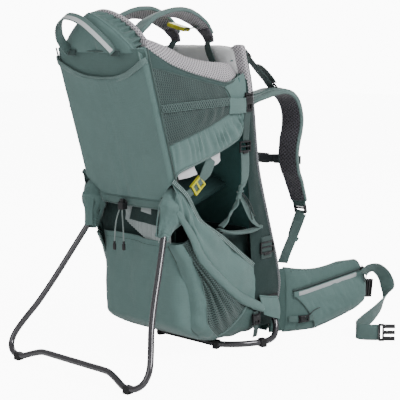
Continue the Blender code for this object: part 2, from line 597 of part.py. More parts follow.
STRAP_LINE = [(0.4560, 0.0800, 0.5460), (0.4850, 0.0850, 0.5560), (0.5220, 0.0890, 0.5640), (0.5570, 0.0920, 0.5680),
              (0.5880, 0.0930, 0.5580), (0.6090, 0.0935, 0.5360), (0.6190, 0.0935, 0.5050), (0.6170, 0.0935, 0.4750),
              (0.6100, 0.0930, 0.4500), (0.6060, 0.0930, 0.4120), (0.6140, 0.0930, 0.3800), (0.6270, 0.0930, 0.3550),
              (0.6400, 0.0930, 0.3250), (0.6480, 0.0930, 0.3050)]
for side, s in SIDES:
    pts = dense(flip(STRAP_LINE, s), 0.024)
    n = len(pts)
    width = [0.058 - 0.010 * max(0, (i / (n - 1) - 0.75) / 0.25) for i in range(n)]
    thick = [0.0100 + 0.0030 * math.sin(math.pi * i / (n - 1)) for i in range(n)]
    loft("shoulder_strap_" + side, pad_rings(pts, (0, 1, 0), width, thick), "shell_fabric", HARNESS)
    # ladder lock under the strap's end
    c = Vector((0.6530, 0.0930 * s, 0.2865))
    t = frame_of((0.28, 0, -0.96), z=(1, 0, 0))
    lock = solid_from([[c + t @ Vector((dx, dy, dz)) for dy, dz in
                        ((-0.0165, -0.004), (0.0165, -0.004), (0.0165, 0.004), (-0.0165, 0.004))] for dx in (-0.0125, 0.0125)])
    cuts = []
    for a, b in ((-0.0095, -0.0025), (0.0015, 0.0085)):
        cuts.append(('DIFFERENCE', solid_from([[c + t @ Vector((dx, dy, dz)) for dy, dz in
                    ((-0.0132, -0.01), (0.0132, -0.01), (0.0132, 0.01), (-0.0132, 0.01))] for dx in (a, b)])))
    carve(lock, cuts)
    adopt(lock, "strap_ladder_lock_" + side, "buckle_plastic", HARNESS)
    # lower webbing from the ladder lock to the foot of the back panel
    pts = dense(flip([(0.6540, 0.0950, 0.2700), (0.6350, 0.0990, 0.2480), (0.6050, 0.1060, 0.2180), (0.5750, 0.1130, 0.1900),
                      (0.5560, 0.1180, 0.1700)], s), 0.02)
    strap("strap_webbing_" + side, pts, Vector((0.15, 1.0 * s, -0.1)), WEB_MAIN, WEB_T, "webbing")
    # load lifter from the top of the front pad to the strap
    pts = dense(flip([(0.4020, 0.0900, 0.6600), (0.4180, 0.0895, 0.6500), (0.4560, 0.0890, 0.6280), (0.5000, 0.0880, 0.6020),
                      (0.5320, 0.0880, 0.5830)], s), 0.02)
    strap("load_lifter_" + side, pts, (0, 1, 0), WEB_THIN, WEB_T, "webbing")

# sternum strap: a band between the shoulder straps, ending in a loop on each
pts = dense([(0.6185, -0.1250, 0.4050), (0.6190, -0.0900, 0.4050), (0.6190, -0.0550, 0.4050), (0.6150, -0.0250, 0.4030), (0.6145, 0.0, 0.4025),
             (0.6150, 0.0250, 0.4030), (0.6190, 0.0550, 0.4050), (0.6190, 0.0900, 0.4050), (0.6185, 0.1250, 0.4050)], 0.02)
strap("sternum_strap", pts, (0, 0, 1), WEB_THIN, WEB_T, "webbing", STERNUM)
block("sternum_buckle", (0.6210, 0.0, 0.4025), (0.0090, 0.0400, 0.0240), "buckle_plastic", STERNUM, bevel=0.002)

# ------------------------------------------------------------------ child's cabin
def rear_half(z):
    """Half width of the rear panel, narrowed beside the hinges."""
    if z < 0.3845:
        return 0.0880
    return 0.1150 if z < 0.615 else 0.1150 - 0.011 * ((z - 0.612) / 0.021) ** 1.5


zs = [0.357, 0.3830, 0.3860, 0.420, 0.490, 0.560, 0.612, 0.623, 0.633]
panel("rear_panel", [[Vector((rear_x(z) + 0.001 - 0.004 * (1 - t * t), rear_half(z) * t, z)) for t in ys] for z in zs],
      [[Vector((rear_x(z) + 0.011 - 0.004 * (1 - t * t), rear_half(z) * t, z)) for t in ys] for z in zs], "shell_fabric")

# headrest: an arched pad over the rear panel
def arch(t, grow=0.0):
    a = math.pi * t
    c = math.cos(a)
    return math.copysign(0.110 * abs(c) ** 1.33, c), 0.658 + 0.083 * abs(math.sin(a)) ** 1.33


outer, inner = [], []
rows = []
N = 12
bm = bmesh.new()
for depth in (-0.004, 0.040):
    ring = [Vector((rear_x(0.658) + depth, 0.108, 0.6565))]
    for k in range(N + 1):
        y, z = arch(k / N)
        if k in (0, N):
            z = 0.6620
        ring.append(Vector((rear_x(z) + depth, y, z)))
    ring.append(Vector((rear_x(0.658) + depth, -0.108, 0.6565)))
    rows.append(ring)
skin(bm, rows)
put(bm, "headrest", "shell_fabric")

# collar: padded rim round the cabin's mouth, open at the back
COLLAR = [(0.128, 0.1180, 0.6760), (0.160, 0.1170, 0.6620), (0.200, 0.1160, 0.6480), (0.250, 0.1160, 0.6360), (0.300, 0.1150, 0.6280),
          (0.330, 0.1120, 0.6240), (0.3480, 0.1020, 0.6230), (0.3600, 0.0800, 0.6230), (0.3640, 0.0400, 0.6230), (0.3640, 0.0, 0.6230)]
col = dense(COLLAR, 0.03)
path = [Vector((p.x, -p.y, p.z)) for p in col[:-1]] + list(reversed(col))
strap("collar", path, (0, 0, 1), [0.036 for p in path], 0.012, "pale_mesh")

# side wings between the rear tube and the back frame
def wing_low(x):
    pts = [(0.140, 0.405), (0.176, 0.412), (0.260, 0.435), (0.346, 0.462), (0.405, 0.486)]
    for (x0, z0), (x1, z1) in zip(pts, pts[1:]):
        if x <= x1:
            return z0 + (z1 - z0) * (x - x0) / (x1 - x0)
    return pts[-1][1]


for side, s in SIDES:
    outer, inner = [], []
    for a in (0.0, 0.25, 0.5, 0.75, 1.0):
        ro, ri = [], []
        for b in (0.0, 0.33, 0.66, 1.0):
            zt = 0.640 - 0.032 * a
            x = 0.15 + 0.2 * a
            for _ in range(4):
                z = wing_low(x) + (zt - wing_low(x)) * b
                x0, x1 = rear_x(z) + 0.0225, back_x(z) - 0.0385
                x = x0 + (x1 - x0) * a
            y = 0.1235 + 0.0022 * math.sin(math.pi * a) * math.sin(math.pi * b)
            ro.append(Vector((x, (y + 0.003) * s, z)))
            ri.append(Vector((x, (y - 0.001) * s, z)))
        outer.append(ro)
        inner.append(ri)
    panel("side_wing_" + side, outer, inner, "shell_fabric")
    # seat height adjuster: a two slot buckle on the strap under the wing
    c = Vector((0.2540, 0.1270 * s, 0.3830))
    t = frame_of((0.80, 0, 0.60))
    lock = solid_from([[c + t @ Vector((dx, dy, dz)) for dy, dz in
                        ((-0.0035, -0.0130), (0.0035, -0.0130), (0.0035, 0.0130), (-0.0035, 0.0130))] for dx in (-0.0180, 0.0180)])
    cuts = []
    for a, b in ((-0.0135, -0.0020), (0.0020, 0.0135)):
        cuts.append(('DIFFERENCE', solid_from([[c + t @ Vector((dx, dy, dz)) for dy, dz in
                    ((-0.01, -0.0092), (0.01, -0.0092), (0.01, 0.0092), (-0.01, 0.0092))] for dx in (a, b)])))
    carve(lock, cuts)
    adopt(lock, "seat_adjuster_" + side, "yellow_plastic")

# seat: a saddle shaped pad
outer, inner = [], []
for a in (0.0, 0.2, 0.4, 0.6, 0.8, 1.0):
    ro, ri = [], []
    for b in (-1.0, -0.6, 0.0, 0.6, 1.0):
        w = 0.080 - 0.030 * math.sin(math.pi * a)
        x = 0.2060 + 0.190 * a
        z = 0.3400 - 0.030 * math.sin(math.pi * a) - 0.012 * b * b + 0.035 * a
        ro.append(Vector((x, w * b, z + 0.018)))
        ri.append(Vector((x, w * b, z)))
    outer.append(ro)
    inner.append(ri)
panel("seat_pad", outer, inner, "lining_fabric")

# ------------------------------------------------------------------ lower bag
def bag_ring(z, inset, z_at=None):
    k = min(max(z / 0.26, 0.0), 1.0)
    rear = 0.2040 + 0.120 * max(0.0, 1 - z / 0.105) ** 1.9
    front = min(back_x(z) - 0.042, 0.470)
    w = 0.1080 - 0.010 * k - 0.012 * max(0.0, 1 - z / 0.05)
    x0, x1, w = rear + inset, front - inset, w - inset
    c = 0.030 - inset
    pts = []
    for cx, cy, a0 in ((x1 - c, w - c, 0), (x0 + c, w - c, 90), (x0 + c, -w + c, 180), (x1 - c, -w + c, 270)):
        for k2 in range(4):
            a = math.radians(a0 + 30 * k2)
            pts.append(Vector((cx + c * math.cos(a), cy + c * math.sin(a), z_at if z_at is not None else z)))
    return pts


T = 0.004
zs = [0.0240, 0.0300, 0.0450, 0.0700, 0.1050, 0.1500, 0.2100, 0.2660]
rings = [bag_ring(0.024, 0.006)] + [bag_ring(z, 0.0) for z in zs[1:]]
rings += [bag_ring(z, T) for z in reversed(zs[2:])] + [bag_ring(0.034, T + 0.004)]
loft("lower_bag", rings, "shell_fabric")

# ------------------------------------------------------------------ drawcord and its lock
lock = bmesh.new()
bmesh.ops.create_cube(lock, size=1.0)
bmesh.ops.scale(lock, vec=(0.0150, 0.0160, 0.0170), verts=lock.verts)
bmesh.ops.bevel(lock, geom=list(lock.edges), offset=0.002, segments=2, profile=0.5, affect='EDGES')
bmesh.ops.translate(lock, vec=(0.1690, 0.0120, 0.3360), verts=lock.verts)
me = bpy.data.meshes.new("tool")
lock.to_mesh(me)
lock.free()
lock = bpy.data.objects.new("tool", me)
bpy.context.scene.collection.objects.link(lock)
carve(lock, [('DIFFERENCE', solid_from(rod_points((0.1690, 0.0120, 0.3335), (0.1690, 0.0120, 0.3600), 0.0053, 14)))])
adopt(lock, "cord_lock", "buckle_plastic")
rings = rod_points((0.1690, 0.0120, 0.3385), (0.1690, 0.0120, 0.3505), 0.0048, 14)
loft("cord_lock_button", rings, "buckle_plastic", axis_empty("cord_lock_axis", (0.169, 0.012, 0.349)))
for side, pts in {"right": [(0.1640, 0.0080, 0.3270), (0.1625, 0.0060, 0.3150), (0.1620, 0.0040, 0.3000), (0.1620, 0.0030, 0.2840), (0.1620, 0.0025, 0.2650), (0.1620, 0.0020, 0.2520)],
                  "left": [(0.1640, 0.0160, 0.3270), (0.1620, 0.0200, 0.3150), (0.1610, 0.0240, 0.3000), (0.1605, 0.0265, 0.2840), (0.1605, 0.0280, 0.2650), (0.1605, 0.0290, 0.2500)]}.items():
    line = dense(pts, 0.0075)
    cu = bpy.data.curves.new("drawcord_" + side, 'CURVE')
    cu.dimensions = '3D'
    cu.bevel_depth, cu.bevel_resolution, cu.use_fill_caps = 0.0015, 2, True
    cu.render_resolution_u = 0
    sp = cu.splines.new('POLY')
    sp.points.add(len(line) - 1)
    for pt, p in zip(sp.points, line):
        pt.co = (*p, 1.0)
    rgb, rough, metal = LOOKS["cord"]
    cu.materials.append(material("drawcord_" + side, rgb, rough, metal))
    ob = bpy.data.objects.new("drawcord_" + side, cu)
    bpy.context.scene.collection.objects.link(ob)
    ob.parent = ROOT

# ------------------------------------------------------------------ chest harness
CHEST_R = [(0.1450, 0.050, 0.6920), (0.1650, 0.050, 0.7080), (0.1940, 0.050, 0.7290), (0.2470, 0.050, 0.7430),
           (0.2980, 0.050, 0.7400), (0.3460, 0.050, 0.7190), (0.3700, 0.050, 0.6980)]
for side, s in SIDES:
    pts = dense(flip(CHEST_R, s), 0.025)
    loft("chest_pad_" + side, pad_rings(pts, (0, 1, 0), 0.044, 0.012), "shell_fabric", CHEST)
block("chest_buckle", (0.3310, 0.0, 0.7120), (0.0240, 0.0480, 0.0090), "yellow_plastic", CHEST,
      turn=Matrix.Rotation(math.radians(14), 3, 'X'), bevel=0.002)

# ------------------------------------------------------------------ grab handle
HAN = [(0.0770, 0.0650, 0.6620), (0.0715, 0.0680, 0.6760), (0.0600, 0.0690, 0.6940), (0.0475, 0.0640, 0.7120), (0.0370, 0.0480, 0.7260),
       (0.0320, 0.0250, 0.7320), (0.0310, 0.0, 0.7335)]
h = dense(HAN, 0.012)
path = [Vector((p.x, -p.y, p.z)) for p in h[:-1]] + list(reversed(h))
strap("grab_handle", path, Vector((0.80, 0, 0.60)), 0.020, 0.0030, "webbing", HANDLE)

# ------------------------------------------------------------------ foot stirrups
for side, s in SIDES:
    x0, y0, z0 = STIRRUP_TOP
    y0 = y0 * s
    drop = [(x0, y0, z0), (x0 + 0.004, y0, z0 - 0.045), (x0 + 0.008, y0, z0 - 0.085)]
    loop = [(x0 + 0.008, y0, z0 - 0.098), (x0 - 0.016, y0, z0 - 0.135), (x0 - 0.040, y0, z0 - 0.168), (x0 - 0.030, y0, z0 - 0.176),
            (x0 + 0.020, y0, z0 - 0.182), (x0 + 0.062, y0, z0 - 0.184), (x0 + 0.066, y0, z0 - 0.174), (x0 + 0.040, y0, z0 - 0.135), (x0 + 0.014, y0, z0 - 0.098)]
    base = solid_from(strap_rings([Vector(p) for p in drop], (0.97, 0, 0.1), 0.014, 0.003))
    band = [Vector(p) for p in loop]
    ring = []
    mid = sum(band, Vector()) / len(band)
    inner_pts = [mid + (p - mid) * 0.90 for p in band]
    outer_pts = [mid + (p - mid) * 1.02 for p in band]
    rows = []
    for dy in (-0.010, 0.010):
        rows.append((([p + Vector((0, dy, 0)) for p in outer_pts]), ([p + Vector((0, dy, 0)) for p in inner_pts])))
    rings = [rows[0][0], rows[1][0], rows[1][1], rows[0][1]]
    bm = bmesh.new()
    skin(bm, rings, closed_path=True)
    bmesh.ops.recalc_face_normals(bm, faces=bm.faces)
    me = bpy.data.meshes.new("tool")
    bm.to_mesh(me)
    bm.free()
    hoop = bpy.data.objects.new("tool", me)
    bpy.context.scene.collection.objects.link(hoop)
    knot = solid_from(strap_rings([Vector((x0 + 0.008, y0, z0 - 0.080)), Vector((x0 + 0.010, y0, z0 - 0.104))], (1, 0, 0), 0.018, 0.012))
    carve(base, [('UNION', knot), ('UNION', hoop)])
    adopt(base, "foot_stirrup_" + side, "webbing", STIRRUP[side])
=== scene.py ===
"""Looks of the framed child carrier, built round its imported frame."""
import bpy
import bmesh
import math
import numpy as np
from mathutils import Matrix, Vector, noise


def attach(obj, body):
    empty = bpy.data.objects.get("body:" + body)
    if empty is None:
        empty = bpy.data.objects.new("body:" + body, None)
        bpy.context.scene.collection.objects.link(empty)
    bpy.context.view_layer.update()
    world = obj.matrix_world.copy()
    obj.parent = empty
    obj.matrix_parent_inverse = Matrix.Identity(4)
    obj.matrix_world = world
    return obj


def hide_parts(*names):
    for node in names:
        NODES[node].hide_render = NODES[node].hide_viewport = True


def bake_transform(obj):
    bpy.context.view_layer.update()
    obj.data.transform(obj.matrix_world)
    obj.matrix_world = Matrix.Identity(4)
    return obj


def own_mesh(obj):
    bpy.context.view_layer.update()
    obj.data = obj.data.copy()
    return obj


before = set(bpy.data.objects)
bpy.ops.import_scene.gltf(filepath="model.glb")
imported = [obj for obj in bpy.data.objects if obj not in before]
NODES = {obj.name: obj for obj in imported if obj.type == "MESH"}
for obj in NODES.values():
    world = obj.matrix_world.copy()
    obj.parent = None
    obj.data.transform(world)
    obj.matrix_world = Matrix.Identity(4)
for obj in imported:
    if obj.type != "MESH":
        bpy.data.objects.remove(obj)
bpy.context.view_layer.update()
OX = 0.39687        # the coordinates below count X from the kickstand's floor contacts

BACK_LINE = [(0.000, 0.516), (0.045, 0.520), (0.084, 0.523), (0.146, 0.519), (0.192, 0.508), (0.256, 0.487),
             (0.339, 0.460), (0.388, 0.445), (0.424, 0.437), (0.477, 0.430), (0.519, 0.425), (0.561, 0.419),
             (0.600, 0.412), (0.652, 0.399), (0.700, 0.388)]


def back_x(z):
    return float(np.interp(z, [a for a, b in BACK_LINE], [b for a, b in BACK_LINE]))


def rear_x(z):
    return 0.0912 + 0.298 * (0.667 - z)


# =============================================================== camera, floor, light
cam_data = bpy.data.cameras.new("camera")
cam_data.lens, cam_data.sensor_width = 100.0, 36.0
cam_data.clip_start, cam_data.clip_end = 0.05, 30.0
cam = bpy.data.objects.new("camera", cam_data)
bpy.context.scene.collection.objects.link(cam)
cam.location = (-1.84007, -1.6899, 0.70)
cam.rotation_euler = (math.radians(90 - 8.573), 0.0, math.radians(-47.487))
bpy.context.scene.camera = cam


def area(name, at, aim, size, power, tint=(1, 1, 1)):
    d = bpy.data.lights.new(name, 'AREA')
    d.shape, d.size, d.energy, d.color = 'DISK', size, power, tint
    o = bpy.data.objects.new(name, d)
    bpy.context.scene.collection.objects.link(o)
    o.location = at
    o.rotation_euler = (Vector(aim) - Vector(at)).to_track_quat('-Z', 'Y').to_euler()
    return o


area("key", (0.1, -2.6, 2.3), (0, 0, 0.35), 1.3, 74)
area("fill", (-2.6, -0.4, 1.6), (0, 0, 0.35), 2.0, 17)
area("rim", (2.0, 1.4, 2.2), (0, 0, 0.4), 1.2, 34)
area("edge", (2.5, -1.5, 1.1), (0, 0, 0.3), 0.20, 5)
world = bpy.data.worlds.new("studio")
bpy.context.scene.world = world
world.use_nodes = True
world.node_tree.nodes["Background"].inputs["Color"].default_value = (1.0, 1.0, 1.0, 1.0)
world.node_tree.nodes["Background"].inputs["Strength"].default_value = 0.42
nt = world.node_tree
lp_, bg2, mx_ = nt.nodes.new("ShaderNodeLightPath"), nt.nodes.new("ShaderNodeBackground"), nt.nodes.new("ShaderNodeMixShader")
bg2.inputs["Color"].default_value = (1.0, 1.0, 1.0, 1.0)
bg2.inputs["Strength"].default_value = 11.0
nt.links.new(lp_.outputs["Is Camera Ray"], mx_.inputs[0])
nt.links.new(nt.nodes["Background"].outputs[0], mx_.inputs[1])
nt.links.new(bg2.outputs[0], mx_.inputs[2])
nt.links.new(mx_.outputs[0], nt.nodes["World Output"].inputs[0])


# =============================================================== curves and meshes
def curve(pts, n):
    """n evenly spaced points of a smooth curve through pts (any number of columns; the first three are the place)."""
    p = np.array(pts, float)
    if len(p) == 2:
        return p[0] + (p[1] - p[0]) * np.linspace(0, 1, n)[:, None]
    e = np.vstack([2 * p[0] - p[1], p, 2 * p[-1] - p[-2]])
    t = np.linspace(0, 1, 14, endpoint=False)[:, None]
    out = []
    for i in range(1, len(e) - 2):
        a, b, c, d = e[i - 1:i + 3]
        out.append(0.5 * (2 * b + (c - a) * t + (2 * a - 5 * b + 4 * c - d) * t * t + (3 * b - a - 3 * c + d) * t ** 3))
    out = np.vstack(out + [p[-1:]])
    s = np.r_[0, np.cumsum(np.linalg.norm(np.diff(out[:, :3], axis=0), axis=1))]
    s = s / s[-1]
    q = np.linspace(0, 1, n)
    return np.stack([np.interp(q, s, out[:, k]) for k in range(out.shape[1])], 1)


def patch(rows, m, n):
    """m by n grid of points on a smooth surface through rows of points."""
    r = np.array([curve(x, n) for x in rows])
    return np.array([curve(r[:, j], m) for j in range(n)]).transpose(1, 0, 2)


def unit(v):
    return v / np.maximum(np.linalg.norm(v, axis=-1, keepdims=True), 1e-12)


def normals(P):
    return unit(np.cross(np.gradient(P, axis=0), np.gradient(P, axis=1)))


def lengths(P, axis):
    d = np.linalg.norm(np.diff(P, axis=axis), axis=2)
    s = np.cumsum(d, axis=axis)
    z = np.zeros_like(np.take(s, [0], axis=axis))
    return np.concatenate([z, s], axis=axis)


def make(name, verts, faces, uvs, mats, body, kinds=None, smooth=True, sharp=None):
    """One mesh piece; uvs is one pair for each vertex, kinds one material number for each face."""
    me = bpy.data.meshes.new(name)
    v = np.array(verts, float).copy()
    v[:, 0] -= OX
    me.from_pydata([tuple(x) for x in v], [], [tuple(int(i) for i in f) for f in faces])
    if uvs is not None:
        lay = me.uv_layers.new(name="UVMap")
        idx = np.zeros(len(me.loops), np.int32)
        me.loops.foreach_get("vertex_index", idx)
        lay.data.foreach_set("uv", np.array(uvs, np.float32)[idx].ravel())
    for m in mats:
        me.materials.append(m)
    if kinds is not None:
        me.polygons.foreach_set("material_index", np.array(kinds, np.int32))
    bm = bmesh.new()
    bm.from_mesh(me)
    bmesh.ops.recalc_face_normals(bm, faces=bm.faces)
    if bm.calc_volume(signed=True) < 0:
        bmesh.ops.reverse_faces(bm, faces=bm.faces)
    bm.to_mesh(me)
    bm.free()
    if smooth:
        me.shade_smooth()
        if sharp:
            me.set_sharp_from_angle(angle=math.radians(sharp))
    ob = bpy.data.objects.new(name, me)
    bpy.context.scene.collection.objects.link(ob)
    if body:
        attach(ob, body)
    return ob


def shell(name, P, front, back, mats, body, sharp=60, uv_turn=False):
    """Closed body over a grid: front and back are offsets along the grid's normals.
    mats: front, back, rim (the last ones repeat)."""
    m, n = P.shape[:2]
    N = normals(P)
    f = np.broadcast_to(np.array(front, float), (m, n))[..., None]
    b = np.broadcast_to(np.array(back, float), (m, n))[..., None]
    F, B = P + N * f, P - N * b
    V = np.vstack([F.reshape(-1, 3), B.reshape(-1, 3)])
    u, v = lengths(P, 1).mean(axis=0), lengths(P, 0).mean(axis=1)
    uv = np.stack(np.meshgrid(u, v), -1).reshape(-1, 2)
    if uv_turn:
        uv = uv[:, ::-1]
    UV = np.vstack([uv, uv])
    idx = np.arange(m * n).reshape(m, n)
    a, c, d, e = idx[:-1, :-1].ravel(), idx[:-1, 1:].ravel(), idx[1:, 1:].ravel(), idx[1:, :-1].ravel()
    ff = np.stack([a, c, d, e], 1)
    fb = np.stack([a, e, d, c], 1) + m * n
    ring = np.concatenate([idx[0, :], idx[1:, -1], idx[-1, :-1][::-1], idx[1:-1, 0][::-1]])
    nxt = np.roll(ring, -1)
    fr = np.stack([ring, ring + m * n, nxt + m * n, nxt], 1)
    mats = list(mats) if isinstance(mats, (list, tuple)) else [mats]
    kinds = [0] * len(ff) + [min(1, len(mats) - 1)] * len(fb) + [min(2, len(mats) - 1)] * len(fr)
    return make(name, V, np.vstack([ff, fb, fr]), UV, mats, body, kinds, sharp=sharp)


def loft(name, rings, mats, body, closed=False, kinds=None, sharp=None, twist=None):
    """Skin over rings of equal length."""
    R = np.array(rings, float)
    k, n = R.shape[:2]
    V = R.reshape(-1, 3)
    L = lengths(np.concatenate([R, R[:, :1]], 1), 1)
    u = L[:, :-1].reshape(-1)
    w = np.repeat(lengths(R, 0).mean(axis=1), n)
    idx = np.arange(k * n).reshape(k, n)
    rows = list(zip(range(k - 1), range(1, k))) + ([(k - 1, 0)] if closed else [])
    faces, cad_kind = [], []
    for i, j in rows:
        for q in range(n):
            r = (q + 1) % n
            faces.append((idx[i, q], idx[i, r], idx[j, r], idx[j, q]))
            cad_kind.append(kinds[q] if kinds else 0)
    if not closed:
        faces += [tuple(idx[0][::-1]), tuple(idx[-1])]
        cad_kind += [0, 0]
    mats = list(mats) if isinstance(mats, (list, tuple)) else [mats]
    return make(name, V, faces, np.stack([w, u], 1), mats, body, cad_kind, sharp=sharp)


def tangents(p):
    return unit(np.gradient(p, axis=0))


def frames(p, wide):
    t = tangents(p)
    w = np.broadcast_to(np.array(wide, float), p.shape)
    w = unit(w - t * (w * t).sum(1, keepdims=True))
    return t, w, np.cross(t, w)


def tube_rings(p, r, n=10):
    p = np.array(p, float)
    t = tangents(p)
    side = np.array(Vector(t[0]).orthogonal().normalized())
    rr = np.broadcast_to(np.array(r, float), (len(p),))
    rings = []
    for q, tt, rad in zip(p, t, rr):
        side = unit(side - tt * (side @ tt))
        up = np.cross(tt, side)
        rings.append([q + (side * math.cos(a) + up * math.sin(a)) * rad for a in (2 * math.pi * k / n for k in range(n))])
    return rings


def tube(name, pts, r, mats, body, n=10, count=None, closed=False):
    p = curve(pts, count) if count else np.array(pts, float)
    return loft(name, tube_rings(p, r, n), mats, body, closed)


def section(w, t):
    """Cross-section of webbing: flat faces with round edges."""
    a, b = w / 2, t / 2
    return [(a - b, b), (0.5 * a, b), (-0.5 * a, b), (-a + b, b), (-a + 0.3 * b, 0.7 * b), (-a, 0), (-a + 0.3 * b, -0.7 * b),
            (-a + b, -b), (-0.5 * a, -b), (0.5 * a, -b), (a - b, -b), (a - 0.3 * b, -0.7 * b), (a, 0), (a - 0.3 * b, 0.7 * b)]


def strap(name, pts, wide, width, thick, mats, body, count=40, wave=0.0, kinds=None):
    """Webbing along pts; wide is one direction, or one for each point."""
    if isinstance(wide, list):
        q = curve(np.hstack([np.array(pts, float), np.array(wide, float)]), count)
        p, wd = q[:, :3], q[:, 3:]
    else:
        p, wd = curve(pts, count), wide
    t, w, n = frames(p, wd)
    rings = []
    for i in range(count):
        ww = np.interp(i / (count - 1), np.linspace(0, 1, len(width)), width) if isinstance(width, (list, tuple)) else width
        off = wave * math.sin(i * 1.7) if wave else 0
        rings.append([p[i] + w[i] * x + n[i] * (y + off) for x, y in section(ww, thick)])
    return loft(name, rings, mats, body, kinds=kinds, sharp=None)


def noisy(P, scale, amount, seed=0.0):
    """Smooth random offset for each point of a grid."""
    out = np.zeros(P.shape[:2])
    for i in range(P.shape[0]):
        for j in range(P.shape[1]):
            x, y, z = P[i, j] * scale
            out[i, j] = noise.noise(Vector((x + seed, y - seed, z + 0.5 * seed)))
    return out * amount


def stitches(name, path, up, body, mat, pitch=0.0042, size=(0.0026, 0.0007, 0.0006)):
    """Row of raised thread dashes along a path; up is the way the cloth faces there."""
    p = np.array(path, float)
    L = np.r_[0, np.cumsum(np.linalg.norm(np.diff(p, axis=0), axis=1))]
    k = max(2, int(L[-1] / pitch))
    q = np.linspace(0, L[-1], k)
    c = np.stack([np.interp(q, L, p[:, i]) for i in range(3)], 1)
    t = tangents(c)
    u = np.broadcast_to(np.array(up, float), p.shape)
    uu = np.stack([np.interp(q, L, u[:, i]) for i in range(3)], 1)
    uu = unit(uu - t * (uu * t).sum(1, keepdims=True))
    s = np.cross(t, uu)
    V, Fc = [], []
    a, b, h = size[0] / 2, size[1] / 2, size[2]
    for i in range(k):
        o = len(V)
        for dz, gx, gy in ((-0.3, 1.0, 1.0), (0.55, 0.9, 0.8), (1.0, 0.55, 0.3)):
            for x, y in ((1, 1), (-1, 1), (-1, -1), (1, -1)):
                V.append(c[i] + t[i] * (x * a * gx) + s[i] * (y * b * gy) + uu[i] * (dz * h))
        for lvl in (0, 4):
            for j in range(4):
                Fc.append((o + lvl + j, o + lvl + (j + 1) % 4, o + lvl + 4 + (j + 1) % 4, o + lvl + 4 + j))
        Fc.append((o + 3, o + 2, o + 1, o))
        Fc.append((o + 8, o + 9, o + 10, o + 11))
    return make(name, V, Fc, None, [mat], body)


def basis(x, up=(0, 0, 1)):
    x = unit(np.array(x, float))
    y = unit(np.cross(np.array(up, float), x))
    return np.stack([x, y, np.cross(x, y)], 1)


def blocks(name, parts, mats, body, seg=3):
    """Bevelled bars joined into one moulded piece.  parts: centre, size, basis or None, bevel, and optionally a material number."""
    bm = bmesh.new()
    for part in parts:
        c, size, T, bevel = part[:4]
        kind = part[4] if len(part) > 4 else 0
        one = bmesh.new()
        bmesh.ops.create_cube(one, size=1.0)
        bmesh.ops.scale(one, vec=size, verts=one.verts)
        if bevel:
            bmesh.ops.bevel(one, geom=list(one.edges), offset=min(bevel, min(size) * 0.49), segments=seg, profile=0.5, affect='EDGES')
        if T is not None:
            bmesh.ops.transform(one, matrix=Matrix(np.array(T).tolist()).to_4x4(), verts=one.verts)
        bmesh.ops.translate(one, vec=(c[0] - OX, c[1], c[2]), verts=one.verts)
        for f in one.faces:
            f.material_index = kind
        me = bpy.data.meshes.new("part")
        one.to_mesh(me)
        one.free()
        bm.from_mesh(me)
        bpy.data.meshes.remove(me)
    me = bpy.data.meshes.new(name)
    bm.to_mesh(me)
    bm.free()
    for m in (mats if isinstance(mats, (list, tuple)) else [mats]):
        me.materials.append(m)
    me.shade_smooth()
    me.set_sharp_from_angle(angle=math.radians(40))
    ob = bpy.data.objects.new(name, me)
    bpy.context.scene.collection.objects.link(ob)
    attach(ob, body)
    return ob


def on(c, T, x, y, z):
    return tuple(np.array(c) + T @ np.array([x, y, z], float))


def ladder_lock(name, c, T, w, h, body, mat, t=0.0045):
    """Ladder buckle: x runs along the webbing, y across it, z out of its face."""
    bar = 0.0030
    parts = []
    for y in (-(w / 2 + bar / 2), w / 2 + bar / 2):
        parts.append((on(c, T, 0, y, 0), (h, bar, t), T, 0.0011))
    for x, hgt, lift in ((-h / 2 + bar / 2, t, 0.0), (-0.04 * h, t * 0.8, 0.0006), (h / 2 - bar * 0.8, t * 1.15, 0.0004)):
        parts.append((on(c, T, x, 0, lift), (bar * 1.15, w + bar, hgt), T, 0.0012))
    parts.append((on(c, T, h / 2 + 0.0010, 0, 0.0014), (0.0040, w * 0.55, t * 0.8), T, 0.0012))
    return blocks(name, parts, mat, body)


def side_release(name, c, T, w, h, body, mat, web=None):
    """Closed side-release buckle: x along the webbing, y across it, z out of its face."""
    t = 0.0075
    parts = [(on(c, T, -0.10 * h, 0, 0), (0.46 * h, w * 0.96, t), T, 0.0022),
             (on(c, T, 0.20 * h, w * 0.36, 0), (0.30 * h, w * 0.22, t * 0.92), T, 0.0018),
             (on(c, T, 0.20 * h, -w * 0.36, 0), (0.30 * h, w * 0.22, t * 0.92), T, 0.0018),
             (on(c, T, 0.20 * h, 0, 0), (0.34 * h, w * 0.20, t * 0.55), T, 0.0012),
             (on(c, T, -0.40 * h, 0, 0), (0.07 * h, w, t * 0.75), T, 0.0014),
             (on(c, T, -0.40 * h - 0.0, w * 0.46, 0), (0.18 * h, w * 0.10, t * 0.7), T, 0.0012),
             (on(c, T, -0.40 * h - 0.0, -w * 0.46, 0), (0.18 * h, w * 0.10, t * 0.7), T, 0.0012),
             (on(c, T, 0.40 * h, 0, 0), (0.10 * h, w * 0.92, t * 0.75), T, 0.0014),
             (on(c, T, 0.48 * h, 0, 0), (0.06 * h, w * 0.94, t * 0.6), T, 0.0012),
             (on(c, T, 0.44 * h, w * 0.42, 0), (0.14 * h, w * 0.10, t * 0.6), T, 0.0012),
             (on(c, T, 0.44 * h, -w * 0.42, 0), (0.14 * h, w * 0.10, t * 0.6), T, 0.0012),
             (on(c, T, -0.10 * h, 0, t * 0.50), (0.22 * h, w * 0.50, 0.0010), T, 0.0004)]
    return blocks(name, parts, mat, body)


